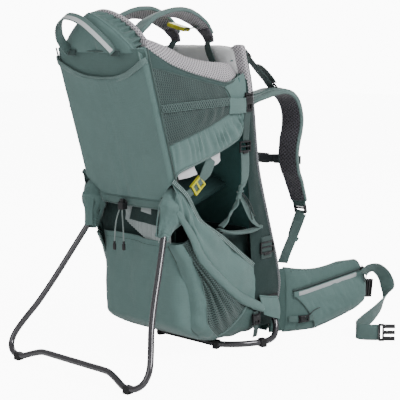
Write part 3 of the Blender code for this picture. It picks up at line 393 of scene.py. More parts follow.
def pillow(base, name, mats, body, pressure=4.0, cap=0.007, voxel=0.005, frames_=20, shrink=0.0, subdiv=1, hold=None):
    """Stuffed cushion: the closed base is remeshed, blown up as cloth and capped; the base itself becomes the cushion.
    """
    ob = base
    me = ob.data
    bpy.context.view_layer.objects.active = ob
    for o in bpy.context.selected_objects:
        o.select_set(False)
    ob.select_set(True)
    me.remesh_voxel_size = voxel
    bpy.ops.object.voxel_remesh()
    rest = np.array([v.co for v in ob.data.vertices])
    c = ob.modifiers.new("cloth", 'CLOTH')
    s = c.settings
    s.quality, s.mass, s.tension_stiffness, s.compression_stiffness, s.shear_stiffness, s.bending_stiffness = 5, 0.3, 22, 8, 8, 0.6
    s.use_pressure, s.uniform_pressure_force = True, pressure
    s.effector_weights.gravity = 0.0
    c.point_cache.frame_start, c.point_cache.frame_end = 1, frames_
    sc = bpy.context.scene
    for f in range(1, frames_ + 1):
        sc.frame_set(f)
    dg = bpy.context.evaluated_depsgraph_get()
    ev = ob.evaluated_get(dg)
    co = np.array([v.co for v in ev.data.vertices])
    ob.modifiers.remove(c)
    sc.frame_set(1)
    d = co - rest
    L = np.linalg.norm(d, axis=1, keepdims=True)
    d = np.where(L > cap, d * cap / np.maximum(L, 1e-9), d)
    if hold is not None:
        wgt = hold(rest + np.array([OX, 0, 0]))[:, None]
        d = d * wgt
    ob.data.vertices.foreach_set("co", (rest + d).astype(np.float32).ravel())
    m = ob.modifiers.new("sub", 'SUBSURF')
    m.levels = m.render_levels = subdiv
    dg = bpy.context.evaluated_depsgraph_get()
    out = bpy.data.meshes.new_from_object(ob.evaluated_get(dg))
    ob.modifiers.clear()
    ob.data = out
    out.shade_smooth()
    return ob


# =============================================================== materials
class Mat:
    """Small helper to wire a procedural material."""

    def __init__(self, name):
        self.m = bpy.data.materials.new(name)
        self.m.use_nodes = True
        self.t = self.m.node_tree
        self.b = self.t.nodes["Principled BSDF"]

    def n(self, kind, **sets):
        node = self.t.nodes.new(kind)
        for k, v in sets.items():
            if hasattr(node, k):
                setattr(node, k, v)
            else:
                node.inputs[k].default_value = v
        return node

    def l(self, a, b):
        self.t.links.new(a, b)

    def math(self, op, a, b=None, c=None):
        node = self.t.nodes.new("ShaderNodeMath")
        node.operation = op
        for i, v in enumerate((a, b, c)):
            if v is None:
                continue
            if isinstance(v, (int, float)):
                node.inputs[i].default_value = v
            else:
                self.l(v, node.inputs[i])
        return node.outputs[0]

    def mix(self, f, a, b):
        node = self.t.nodes.new("ShaderNodeMix")
        node.data_type = 'RGBA'
        for i, v in ((0, f), (6, a), (7, b)):
            if isinstance(v, (int, float)):
                node.inputs[i].default_value = v
            elif isinstance(v, tuple):
                node.inputs[i].default_value = (*v, 1.0) if len(v) == 3 else v
            else:
                self.l(v, node.inputs[i])
        return node.outputs[2]

    def ramp(self, v, lo, hi, a=0.0, b=1.0):
        node = self.t.nodes.new("ShaderNodeMapRange")
        self.l(v, node.inputs[0])
        for i, x in ((1, lo), (2, hi), (3, a), (4, b)):
            node.inputs[i].default_value = x
        return node.outputs[0]

    def bump(self, height, strength, distance, after=None):
        node = self.t.nodes.new("ShaderNodeBump")
        node.inputs["Strength"].default_value = strength
        node.inputs["Distance"].default_value = distance
        self.l(height, node.inputs["Height"])
        if after is not None:
            self.l(after, node.inputs["Normal"])
        return node.outputs[0]

    def noise(self, vec, scale, detail=3.0, rough=0.55):
        node = self.t.nodes.new("ShaderNodeTexNoise")
        node.inputs["Scale"].default_value = scale
        node.inputs["Detail"].default_value = detail
        node.inputs["Roughness"].default_value = rough
        self.l(vec, node.inputs["Vector"])
        return node.outputs["Fac"]

    def obj(self):
        return self.t.nodes.new("ShaderNodeTexCoord").outputs["Object"]

    def uv(self):
        return self.t.nodes.new("ShaderNodeUVMap").outputs[0]

    def scaled(self, vec, s):
        node = self.t.nodes.new("ShaderNodeMapping")
        node.inputs["Scale"].default_value = s
        self.l(vec, node.inputs["Vector"])
        return node.outputs[0]

    def xyz(self, vec):
        node = self.t.nodes.new("ShaderNodeSeparateXYZ")
        self.l(vec, node.inputs[0])
        return node.outputs


def weave_cloth(name, base, rough=0.78, uv=True, streak=0.35, sheen=0.25, weave=0.00085, rip=0.0055, strength=0.25, metre=1.0):
    """Plain woven pack cloth: over and under threads, a faint rib, soft streaks and slight shading."""
    k = Mat(name)
    o = k.obj()
    if uv:
        x, y = k.xyz(k.uv())[:2]
    else:
        s = k.xyz(o)
        x, y = k.math('ADD', s[0], k.math('MULTIPLY', s[1], 0.93)), s[2]
    f = 2 * math.pi / weave
    sx, sy = k.math('SINE', k.math('MULTIPLY', x, f)), k.math('SINE', k.math('MULTIPLY', y, f))
    over = k.math('MULTIPLY', sx, sy)
    fr = 2 * math.pi / rip
    ribx = k.math('POWER', k.math('ABSOLUTE', k.math('SINE', k.math('MULTIPLY', x, fr / 2))), 14.0)
    riby = k.math('POWER', k.math('ABSOLUTE', k.math('SINE', k.math('MULTIPLY', y, fr / 2))), 14.0)
    comb = k.t.nodes.new("ShaderNodeCombineXYZ")
    k.l(k.math('MULTIPLY', x, 22.0), comb.inputs[0])
    k.l(k.math('MULTIPLY', y, 700.0), comb.inputs[1])
    st = k.noise(comb.outputs[0], 1.0, 2.0)
    big = k.noise(o, 9.0, 4.0)
    fine = k.noise(o, 420.0, 2.0)
    dark = tuple(c * 0.74 for c in base)
    lite = tuple(min(1, c * 1.17) for c in base)
    col = k.mix(k.ramp(big, 0.3, 0.7), tuple(c * 0.93 for c in base), tuple(min(1, c * 1.06) for c in base))
    col = k.mix(k.math('MULTIPLY', k.ramp(st, 0.35, 0.65), streak), col, lite)
    col = k.mix(k.math('MULTIPLY', k.ramp(over, -1.0, 0.2, 1.0, 0.0), 0.35), col, dark)
    col = k.mix(k.math('MULTIPLY', k.math('MAXIMUM', ribx, riby), 0.16), col, lite)
    k.l(col, k.b.inputs["Base Color"])
    k.l(k.ramp(fine, 0.3, 0.7, rough - 0.07, rough + 0.08), k.b.inputs["Roughness"])
    h = k.math('ADD', k.math('MULTIPLY', over, 0.5), k.math('MULTIPLY', k.math('ADD', ribx, riby), 0.8))
    h = k.math('ADD', h, k.math('MULTIPLY', fine, 0.5))
    n1 = k.bump(h, strength, 0.00022)
    n2 = k.bump(k.noise(o, 55.0, 4.0), 0.22, 0.0016, n1)
    k.l(n2, k.b.inputs["Normal"])
    k.b.inputs["Sheen Weight"].default_value = sheen
    k.b.inputs["Sheen Roughness"].default_value = 0.45
    k.b.inputs["Specular IOR Level"].default_value = 0.32
    return k.m


def webbing_mat(name, base, rib=0.0016, rough=0.7, edge=None):
    """Woven tape: ribs across it, finer twill along it."""
    k = Mat(name)
    o = k.obj()
    x, y = k.xyz(k.uv())[:2]
    ribs = k.math('SINE', k.math('MULTIPLY', x, 2 * math.pi / rib))
    fine = k.math('SINE', k.math('MULTIPLY', y, 2 * math.pi / 0.0011))
    h = k.math('ADD', ribs, k.math('MULTIPLY', fine, 0.5))
    big = k.noise(o, 22.0, 3.0)
    col = k.mix(k.ramp(big, 0.3, 0.7), tuple(c * 0.88 for c in base), tuple(min(1, c * 1.1) for c in base))
    col = k.mix(k.math('MULTIPLY', k.ramp(h, -1.4, 0.0, 1.0, 0.0), 0.4), col, tuple(c * 0.62 for c in base))
    k.l(col, k.b.inputs["Base Color"])
    k.b.inputs["Roughness"].default_value = rough
    k.l(k.bump(h, 0.4, 0.0003, k.bump(k.noise(o, 160.0, 2.0), 0.15, 0.0006)), k.b.inputs["Normal"])
    k.b.inputs["Sheen Weight"].default_value = 0.2
    k.b.inputs["Sheen Roughness"].default_value = 0.5
    return k.m


def dots(k, x, y, pitch, ratio=1.0):
    """Distance to the nearest hole of a staggered grid, in pitches."""
    def cell(dx, dy):
        u = k.math('SUBTRACT', k.math('FRACT', k.math('ADD', k.math('DIVIDE', x, pitch), dx)), 0.5)
        v = k.math('SUBTRACT', k.math('FRACT', k.math('ADD', k.math('DIVIDE', y, pitch * ratio), dy)), 0.5)
        v = k.math('MULTIPLY', v, ratio)
        return k.math('SQRT', k.math('ADD', k.math('MULTIPLY', u, u), k.math('MULTIPLY', v, v)))
    return k.math('MINIMUM', cell(0.0, 0.0), cell(0.5, 0.5))


def spacer_mesh(name, base, hole, pitch=0.0052, size=0.24, rough=0.85, strength=0.6, ratio=1.25, uv=True):
    """Padded spacer mesh with staggered round holes."""
    k = Mat(name)
    o = k.obj()
    if uv:
        x, y = k.xyz(k.uv())[:2]
    else:
        s = k.xyz(o)
        x, y = k.math('ADD', s[0], k.math('MULTIPLY', s[1], 0.97)), s[2]
    d = dots(k, x, y, pitch, ratio)
    inside = k.ramp(d, size - 0.07, size + 0.05, 1.0, 0.0)
    fine = k.math('MULTIPLY', k.math('SINE', k.math('MULTIPLY', x, 2 * math.pi / 0.0009)), k.math('SINE', k.math('MULTIPLY', y, 2 * math.pi / 0.0009)))
    big = k.noise(o, 14.0, 3.0)
    col = k.mix(k.ramp(big, 0.3, 0.7), tuple(c * 0.92 for c in base), tuple(min(1, c * 1.06) for c in base))
    col = k.mix(k.math('MULTIPLY', k.ramp(fine, -1, 0.3, 1, 0), 0.18), col, tuple(c * 0.6 for c in base))
    col = k.mix(inside, col, hole)
    k.l(col, k.b.inputs["Base Color"])
    k.b.inputs["Roughness"].default_value = rough
    h = k.math('ADD', k.ramp(d, size - 0.1, size + 0.12, 0.0, 1.0), k.math('MULTIPLY', fine, 0.12))
    k.l(k.bump(h, strength, 0.0011), k.b.inputs["Normal"])
    k.b.inputs["Sheen Weight"].default_value = 0.3
    k.b.inputs["Sheen Roughness"].default_value = 0.5
    return k.m


def net(name, line, hole, pitch=0.0046, width=0.16, depth=0.0010, rough=0.7):
    """Stretch net: diamond meshes over a darker ground."""
    k = Mat(name)
    o = k.obj()
    x, y = k.xyz(k.uv())[:2]
    a = k.math('ADD', k.math('DIVIDE', x, pitch), k.math('DIVIDE', y, pitch * 1.5))
    b = k.math('SUBTRACT', k.math('DIVIDE', x, pitch), k.math('DIVIDE', y, pitch * 1.5))
    fa = k.math('ABSOLUTE', k.math('SUBTRACT', k.math('FRACT', a), 0.5))
    fb = k.math('ABSOLUTE', k.math('SUBTRACT', k.math('FRACT', b), 0.5))
    d = k.math('MINIMUM', fa, fb)
    on_line = k.ramp(d, width * 0.55, width, 1.0, 0.0)
    big = k.noise(o, 20.0, 4.0)
    lc = k.mix(k.ramp(big, 0.3, 0.7), tuple(c * 0.85 for c in line), tuple(min(1, c * 1.15) for c in line))
    k.l(k.mix(on_line, hole, lc), k.b.inputs["Base Color"])
    k.b.inputs["Roughness"].default_value = rough
    k.l(k.bump(on_line, 0.6, depth), k.b.inputs["Normal"])
    k.b.inputs["Sheen Weight"].default_value = 0.15
    return k.m


def plastic(name, base, rough=0.42, grain=0.12):
    k = Mat(name)
    o = k.obj()
    sp = k.noise(o, 900.0, 2.0)
    big = k.noise(o, 60.0, 3.0)
    k.l(k.mix(k.ramp(big, 0.35, 0.65), tuple(c * 0.9 for c in base), tuple(min(1, c * 1.12) for c in base)), k.b.inputs["Base Color"])
    k.l(k.ramp(big, 0.3, 0.7, rough - 0.06, rough + 0.08), k.b.inputs["Roughness"])
    k.l(k.bump(sp, grain, 0.0003), k.b.inputs["Normal"])
    return k.m


def coated_tube(name, base, rough=0.30, metal=0.55):
    """Powder coat over tube: fine orange peel, faint rub marks along it."""
    k = Mat(name)
    o = k.obj()
    peel = k.noise(o, 700.0, 2.0)
    rub = k.noise(k.scaled(o, (30.0, 30.0, 90.0)), 1.0, 5.0)
    k.l(k.mix(k.math('MULTIPLY', k.ramp(rub, 0.56, 0.72), 0.5), base, tuple(min(1, c * 1.9) for c in base)), k.b.inputs["Base Color"])
    k.l(k.ramp(rub, 0.3, 0.7, rough - 0.05, rough + 0.12), k.b.inputs["Roughness"])
    k.l(k.bump(peel, 0.10, 0.0002), k.b.inputs["Normal"])
    k.b.inputs["Metallic"].default_value = metal
    k.b.inputs["Coat Weight"].default_value = 1.0
    k.b.inputs["Coat Roughness"].default_value = 0.13
    return k.m


def steel(name):
    k = Mat(name)
    o = k.obj()
    br = k.noise(k.scaled(o, (900.0, 60.0, 900.0)), 1.0, 2.0)
    k.l(k.mix(k.ramp(br, 0.3, 0.7), (0.36, 0.36, 0.37), (0.52, 0.52, 0.53)), k.b.inputs["Base Color"])
    k.l(k.ramp(br, 0.3, 0.7, 0.25, 0.42), k.b.inputs["Roughness"])
    k.b.inputs["Metallic"].default_value = 1.0
    return k.m


def rubber_mat(name):
    k = Mat(name)
    o = k.obj()
    n = k.noise(o, 300.0, 4.0)
    k.l(k.mix(k.ramp(n, 0.3, 0.7), (0.010, 0.010, 0.011), (0.022, 0.022, 0.024)), k.b.inputs["Base Color"])
    k.l(k.ramp(n, 0.3, 0.7, 0.62, 0.88), k.b.inputs["Roughness"])
    k.l(k.bump(n, 0.35, 0.0006), k.b.inputs["Normal"])
    return k.m


TEAL = (0.118, 0.196, 0.186)
TEAL_DARK = (0.058, 0.108, 0.100)
TEAL_DEEP = (0.028, 0.064, 0.060)
INK = (0.0560, 0.1500, 0.1440)

M = {
    "shell": weave_cloth("shell_cloth", TEAL),
    "shell_plain": weave_cloth("shell_cloth_plain", TEAL, uv=False, streak=0.12),
    # the shell cloth made darker, as painted shade: used on the rear panel's upper layer, the headrest's band, the hem
    # channel and the hip fins
    "shell_painted_shade": weave_cloth("shell_cloth_shaded", (0.088, 0.150, 0.141), streak=0.2),
    "dark": weave_cloth("lining_cloth_dark", TEAL_DARK, streak=0.15),
    "deep": weave_cloth("lining_cloth_deep", TEAL_DEEP, streak=0.1, sheen=0.1),
    "ink_uv": weave_cloth("seat_cloth_black", (0.014, 0.044, 0.042), streak=0.1, sheen=0.05),
    "binding_light": webbing_mat("edge_binding_light", (0.135, 0.215, 0.204), rib=0.0012),
    "web_slate": webbing_mat("webbing_slate", (0.030, 0.042, 0.048)),
    "ink": weave_cloth("lining_cloth_black", INK, streak=0.1, sheen=0.05, uv=False),
    "binding": webbing_mat("edge_binding", (0.105, 0.172, 0.163), rib=0.0012),
    "binding_dark": webbing_mat("edge_binding_dark", (0.045, 0.085, 0.079), rib=0.0012),
    "web": webbing_mat("webbing_teal", (0.088, 0.150, 0.141)),
    "web_dark": webbing_mat("webbing_dark", (0.030, 0.062, 0.058)),
    "reflect": weave_cloth("reflective_tape", (0.50, 0.53, 0.54), rough=0.45, streak=0.2, sheen=0.0, strength=0.12),
    "pad_grey": weave_cloth("pad_cloth_grey", (0.93, 0.95, 0.96), streak=0.15, uv=False),
    "label": weave_cloth("blank_label", (0.70, 0.69, 0.72), streak=0.1, uv=False),
    "lining_grey": weave_cloth("ribbed_lining", (0.36, 0.41, 0.41), streak=0.3, rip=0.006, strength=0.6),
    "edge_mesh": spacer_mesh("edge_mesh", (0.22, 0.235, 0.25), (0.05, 0.06, 0.065), pitch=0.0060),
    "thread_light": plastic("thread_light", (0.30, 0.40, 0.385), 0.8),
    "pale_mesh": spacer_mesh("pale_mesh", (0.60, 0.575, 0.605), (0.13, 0.12, 0.14), pitch=0.0070, size=0.27),
    "pale_mesh_o": spacer_mesh("pale_mesh_plain", (0.60, 0.575, 0.605), (0.17, 0.16, 0.18), uv=False),
    "dark_mesh": spacer_mesh("dark_mesh", (0.088, 0.083, 0.104), (0.014, 0.013, 0.018), pitch=0.0085, size=0.30, strength=0.8),
    "dark_mesh_o": spacer_mesh("dark_mesh_plain", (0.082, 0.077, 0.096), (0.018, 0.017, 0.022), size=0.25, uv=False),
    "net": net("pocket_net", (0.095, 0.155, 0.146), (0.012, 0.030, 0.028), pitch=0.0062, width=0.15),
    # gusset cloth: the back panel's dark sides, and also painted shade inside the lower bag, on its shaded front
    # corners and on the sheet behind the gap under the rear panel
    "gusset": weave_cloth("gusset_cloth_and_shade", (0.011, 0.031, 0.029), streak=0.15),
    "shade": weave_cloth("shade_cloth", (0.040, 0.076, 0.072), streak=0.15),
    "net_fine": net("pocket_net_fine", (0.054, 0.094, 0.089), (0.010, 0.025, 0.023), pitch=0.0050, width=0.18),
    "thread": plastic("thread_pale", (0.20, 0.29, 0.275), 0.8),
    "thread_dark": plastic("thread_dark", (0.03, 0.055, 0.052), 0.8),
    "black": plastic("buckle_black", (0.013, 0.013, 0.015), 0.36),
    "joint": plastic("joint_black", (0.017, 0.017, 0.019), 0.45, 0.2),
    "yellow": plastic("moulded_yellow", (0.60, 0.57, 0.018), 0.38),
    "tube": coated_tube("powder_coat", (0.060, 0.058, 0.066), 0.20),
    "tube_black": coated_tube("powder_coat_black", (0.022, 0.022, 0.024), 0.36, 0.4),
    "rubber": rubber_mat("moulded_rubber"),
    "steel": steel("pin_steel"),
    "cord": webbing_mat("braided_cord", (0.27, 0.33, 0.32), rib=0.0022),
    "cord_dark": webbing_mat("braided_cord_dark", (0.03, 0.045, 0.044), rib=0.0022),
}

# the CAD pieces whose shape is right keep it and get their finish here
for names, key in ((("base_frame", "kickstand_tube"), "tube"), (("back_frame", "seat_frame"), "tube_black"),
                   (("hinge_pin_right", "hinge_pin_left"), "steel"),
                   (("frame_joint_right", "frame_joint_left", "hinge_bracket_right", "hinge_bracket_left",
                     "kickstand_hub_right", "kickstand_hub_left"), "joint"),
                   (("base_foot_rear_right", "base_foot_rear_left", "base_foot_front_right", "base_foot_front_left",
                     "kickstand_foot_right", "kickstand_foot_left"), "rubber"),
                   (("hip_ladder_lock_right", "hip_ladder_lock_left", "hip_buckle_prong", "hip_buckle_socket", "zip_slider",
                     "strap_ladder_lock_right", "strap_ladder_lock_left", "sternum_buckle", "cord_lock", "cord_lock_button"), "black"),
                   (("chest_buckle", "seat_adjuster_right", "seat_adjuster_left"), "yellow")):
    for nm in names:
        NODES[nm].data.materials.clear()
        NODES[nm].data.materials.append(M[key])

SIDES = (("right", -1.0), ("left", 1.0))


def side_pts(pts, s):
    """Points written for the right side (Y below 0), for side s."""
    return [(p[0], p[1] * -s, *p[2:]) for p in pts]

# =============================================================== free webbing and cords
TAIL = [(0.7400, 0.2180, 0.1300), (0.7480, 0.2290, 0.1420), (0.7600, 0.2400, 0.1440), (0.7760, 0.2490, 0.1300),
        (0.7850, 0.2560, 0.1080), (0.7790, 0.2620, 0.0860), (0.7520, 0.2670, 0.0640), (0.7120, 0.2690, 0.0455),
        (0.6700, 0.2670, 0.0305), (0.6420, 0.2690, 0.0225), (0.6330, 0.2790, 0.0205), (0.6380, 0.2950, 0.0200),
        (0.6480, 0.3090, 0.0200), (0.6570, 0.3190, 0.0200)]
TAIL_LEFT = TAIL[:-3] + [(0.6400, 0.2950, 0.0200), (0.6450, 0.3090, 0.0200), (0.6458, 0.3230, 0.0200)]
TAIL_WIDE = [(-0.35, 0.45, 0.80), (-0.30, 0.55, 0.75), (-0.1, 0.80, 0.55), (0.1, 0.90, 0.30), (0.2, 0.90, 0.1),
             (0.05, 0.60, 0.60), (-0.05, 0.30, 0.90), (0, 0.1, 1), (0, 0, 1), (0, 0, 1), (0, 0, 1), (0, 0, 1),
             (0, 0, 1), (0, 0, 1)]
for side, s in SIDES:
    body = "hip_belt_" + side
    src = TAIL if s < 0 else TAIL_LEFT
    pts = [(x, y * s, z) for x, y, z in src]
    wide = [(x, y * s, z) for x, y, z in TAIL_WIDE]
    w = strap("hip_webbing_%s_tape" % side, pts, wide, 0.0375, 0.0019, M["web"], body, count=110)
    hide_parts("hip_webbing_" + side)
    q = curve(np.hstack([np.array(pts), np.array(wide)]), 110)[:, :3]
    q[:, 0] -= OX

for side, pts in {"right": [(0.1640, 0.0080, 0.3270), (0.1625, 0.0060, 0.3150), (0.1620, 0.0040, 0.3000), (0.1620, 0.0030, 0.2840), (0.1620, 0.0025, 0.2650), (0.1620, 0.0020, 0.2520)],
                  "left": [(0.1640, 0.0160, 0.3270), (0.1620, 0.0200, 0.3150), (0.1610, 0.0240, 0.3000), (0.1605, 0.0265, 0.2840), (0.1605, 0.0280, 0.2650), (0.1605, 0.0290, 0.2500)]}.items():
    p = curve(pts, 60)
    c = loft("drawcord_%s_cord" % side, tube_rings(p, 0.0015, 10), M["cord"], "carrier")
    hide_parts("drawcord_" + side)
    end = p[-1]
    tab = blocks("drawcord_%s_end" % side, [((end[0], end[1], end[2] - 0.004), (0.0060, 0.0070, 0.0150), None, 0.0022),
                                            ((end[0], end[1], end[2] + 0.0055), (0.0042, 0.0050, 0.0060), None, 0.0016)], M["black"], "carrier")
    p[:, 0] -= OX


# =============================================================== rear of the cabin
UP_REAR = np.array([-0.298, 0.0, 1.0])


def smile(y):
    return float(np.interp(abs(y), [0, 0.036, 0.055, 0.0794, 0.106, 0.120, 0.1345], [0.6045, 0.6062, 0.6095, 0.6168, 0.6290, 0.6370, 0.6470]))


def rear_low(y):
    return 0.3560 + 0.0400 * float(np.clip((abs(y) - 0.088) / 0.045, 0, 1))


m_, n_ = 84, 96
ys = 0.1345 * np.sin(np.linspace(-1, 1, n_) * 1.25) / math.sin(1.25)
P = np.zeros((m_, n_, 3))
for i, v in enumerate(np.linspace(0, 1, m_)):
    for j, y in enumerate(ys):
        zb, zs = rear_low(y), smile(y)
        z = zb + (zs - zb) * v
        off = -0.0020 - 0.0030 * (1 - (y / 0.135) ** 2)
        off += 0.0110 * max(0.0, (abs(y) - 0.1235) / 0.011) ** 2
        d = zs - z
        off -= 0.0050 * math.exp(-d / 0.018) * (1 - (y / 0.14) ** 4)
        win = math.exp(-((y + 0.010) / 0.036) ** 4)
        off -= 0.0030 * win * math.exp(-d / 0.016) * (0.5 + 0.5 * math.sin(2 * math.pi * y / 0.0092 + 1.3 * math.sin(y * 160))) * min(1, d / 0.004)
        off += 0.0012 * math.exp(-((y + 0.005) / 0.05) ** 2) * (1 - v) ** 1.5 * math.sin(2 * math.pi * y / 0.034 + 0.5)
        off += 0.0016 * noise.noise(Vector((y * 16, z * 9, 3.1))) + 0.0006 * noise.noise(Vector((y * 55, z * 30, 7.7)))
        P[i, j] = (rear_x(z) + off, y, z)
rear = shell("rear_panel_cloth", P, 0.0007, 0.0007, M["shell"], "carrier")
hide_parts("rear_panel")

# the layer behind the pocket's mouth, up to the headrest, in the shell cloth made darker: painted shade
P = np.zeros((30, 60, 3))
for i, z in enumerate(np.linspace(0.560, 0.668, 30)):
    for j, y in enumerate(np.linspace(-0.1290, 0.1290, 60)):
        P[i, j] = (rear_x(z) - 0.0016 + 0.009 * max(0, (abs(y) - 0.112) / 0.017) ** 2 + 0.0012 * noise.noise(Vector((y * 22, z * 30, 1.0))), y, z)
shell("rear_upper_cloth", P, 0.0006, 0.0006, M["shell_painted_shade"], "carrier")
# inner face of the cabin's back
P = np.zeros((24, 30, 3))
for i, z in enumerate(np.linspace(0.352, 0.672, 24)):
    for j, y in enumerate(np.linspace(-0.1180, 0.1180, 30)):
        P[i, j] = (rear_x(z) + 0.0165, y, z)
shell("rear_lining", P, 0.0006, 0.0006, M["deep"], "carrier")

ysb = np.linspace(-0.1340, 0.1340, 60)
bind = [(rear_x(smile(y)) - 0.0078 + 0.0105 * max(0.0, (abs(y) - 0.118) / 0.016) ** 2, y, smile(y)) for y in ysb]
b = strap("pocket_binding", bind, tuple(UP_REAR), 0.0125, 0.0036, M["binding_light"], "carrier", count=90)
for k, dz in (("upper", 0.0040), ("lower", -0.0040)):
    q = [(x - 0.0014 - 0.298 * dz, y, z + dz) for x, y, z in bind]
    stitches("pocket_binding_stitch_" + k, curve(q, 200), (-0.958, 0, -0.285), "carrier", M["thread"])

# piped seams down both edges of the rear panel
for side, s in SIDES:
    pts = [(rear_x(z) + 0.0080, s * 0.1362, z) for z in np.linspace(0.668, 0.398, 14)]
    tube("rear_seam_" + side, pts, 0.0019, M["binding_dark"], "carrier", 8, 60)

# =============================================================== headrest
def dome(a, d):
    """Headrest's outline at depth d from its rear face: pointed behind, rounder in front."""
    k = min(1.0, max(0.0, d / 0.040))
    e = 2 / (1.22 + 0.50 * k)
    c, sn = math.cos(a), max(0.0, math.sin(a))
    return math.copysign(0.1085 * abs(c) ** e, c), (0.0795 + 0.003 * k) * sn ** e


rings = []
N = 150
prof = [(0.02, -0.001), (0.30, -0.0075), (0.60, -0.0085), (0.82, -0.0065), (0.93, -0.0035), (0.985, 0.0005), (1.012, 0.0060), (1.022, 0.0130), (1.026, 0.0200),
        (1.024, 0.0280), (1.014, 0.0345), (0.995, 0.0400), (0.955, 0.0440), (0.86, 0.0450), (0.66, 0.0440), (0.34, 0.0420), (0.02, 0.0400)]
pq = curve([(a, b * 10, 0.0) for a, b in prof], 56)
for i in range(N):
    a = math.pi * (i / (N - 1))
    ring = []
    for k, (q, d10, _) in enumerate(pq):
        d = d10 / 10
        y0, z0 = dome(a, d)
        band = math.exp(-((d - 0.025) / 0.013) ** 4) if q > 0.9 else 0.0
        ruche = 0.0085 * band * (0.5 + 0.5 * math.sin(i * 0.92 + 1.1 * math.sin(i * 0.23) + 30 * d)) * (0.35 + 0.65 * min(1, max(0, (a - 0.9) / 0.8)))
        rough = 0.0018 * noise.noise(Vector((y0 * 24, z0 * 24, d * 60)))
        rad = q * (1 + (ruche * -1.0) / 0.09) + 0
        z = 0.6595 + z0 * rad
        ring.append((rear_x(z) - 0.001 + d + rough * (1 if q < 0.95 else 0.4), y0 * rad, z))
    rings.append(ring)
# the band round the headrest's side takes the shell cloth made darker: painted shade
kinds = [2 if k > 38 else (1 if 24 <= k <= 38 else 0) for k in range(56)]
hr = loft("headrest_pillow", rings, [M["shell"], M["shell_painted_shade"], M["pale_mesh"]], "carrier", kinds=kinds)
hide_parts("headrest")
arc = []
for i in range(60):
    a = math.pi * (0.01 + 0.98 * i / 59)
    y0, z0 = dome(a, 0.0)
    arc.append((rear_x(0.6595 + z0) + 0.0008, y0, 0.6595 + z0))
tube("headrest_seam", arc, 0.0013, M["shell"], "carrier", 8, 160)
rim = []
for i in range(60):
    a = math.pi * (0.0 + 1.0 * i / 59)
    y0, z0 = dome(a, 0.04)
    z = 0.6585 + z0 * 1.014
    rim.append((rear_x(z) + 0.0400, y0 * 1.018, z))
rr = tube("headrest_rim", rim, 0.0052, M["pale_mesh"], "carrier", 12, 150)
seam = [(rear_x(0.6625) - 0.0062 + 0.007 * (abs(y) / 0.10) ** 3, y, 0.6625) for y in np.linspace(-0.100, 0.100, 20)]
tube("headrest_base_seam", seam, 0.0014, M["binding_dark"], "carrier", 8, 60)
# little fold of cloth where the headrest meets the pocket's corner
for side, s in SIDES:
    P = patch([[(0.0905, s * 0.1160, 0.6700), (0.0990, s * 0.1225, 0.6710), (0.1110, s * 0.1235, 0.6690)],
               [(0.0925, s * 0.1180, 0.6560), (0.1010, s * 0.1265, 0.6560), (0.1120, s * 0.1265, 0.6560)],
               [(0.0960, s * 0.1200, 0.6380), (0.1040, s * 0.1270, 0.6390), (0.1140, s * 0.1275, 0.6420)]], 16, 16)
    P[..., 1] += s * 0.0012 * np.sin(np.linspace(0, 9, 16))[None, :]
    shell("headrest_tab_" + side, P, 0.0007, 0.0007, M["shell"], "carrier")
    if s < 0:
        tube("headrest_tab_edge_" + side, [(0.0925, s * 0.1180, 0.6705), (0.0940, s * 0.1200, 0.6560), (0.0975, s * 0.1220, 0.6380)], 0.0014, M["thread"], "carrier", 8, 20)

# =============================================================== grab handle
HAN = [(0.0770, 0.0650, 0.6620), (0.0715, 0.0680, 0.6760), (0.0600, 0.0690, 0.6940), (0.0475, 0.0640, 0.7120), (0.0370, 0.0480, 0.7260),
       (0.0320, 0.0250, 0.7320), (0.0310, 0.0, 0.7335)]
path = [(0.0770, -0.0650, 0.6620), (0.0640, -0.0520, 0.6815), (0.0515, -0.0325, 0.7035), (0.0415, -0.0100, 0.7225), (0.0355, 0.0130, 0.7312), (0.0338, 0.0330, 0.7300),
        (0.0390, 0.0550, 0.7150), (0.0500, 0.0675, 0.6920), (0.0660, 0.0720, 0.6740), (0.0770, 0.0700, 0.6620)]
h = strap("grab_handle_tape", path, (0.80, 0, 0.60), 0.0225, 0.0028, M["web"], "handle", count=120)
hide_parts("grab_handle")
q = curve(path, 120)
t, w, nn = frames(q, (0.80, 0, 0.60))
up = nn * np.sign((nn * (q - np.array([0.08, 0, 0.66]))).sum(1, keepdims=True))
strap("grab_handle_reflective", [tuple(x) for x in (q + up * 0.0016 - w * 0.0048)][2:-2], (0.80, 0, 0.60), 0.0105, 0.0008, M["reflect"], "handle", count=110)
for k, o in (("a", 0.0006), ("b", -0.0102), ("c", 0.0095)):
    stitches("grab_handle_stitch_" + k, (q + up * 0.0018 + w * o)[2:-2], up[2:-2], "handle", M["thread"])
for side, s in SIDES:
    blocks("grab_handle_anchor_" + side, [((0.0800, s * 0.0650, 0.6590), (0.0035, 0.0240, 0.0120), None, 0.0012)], M["web_dark"], "carrier")

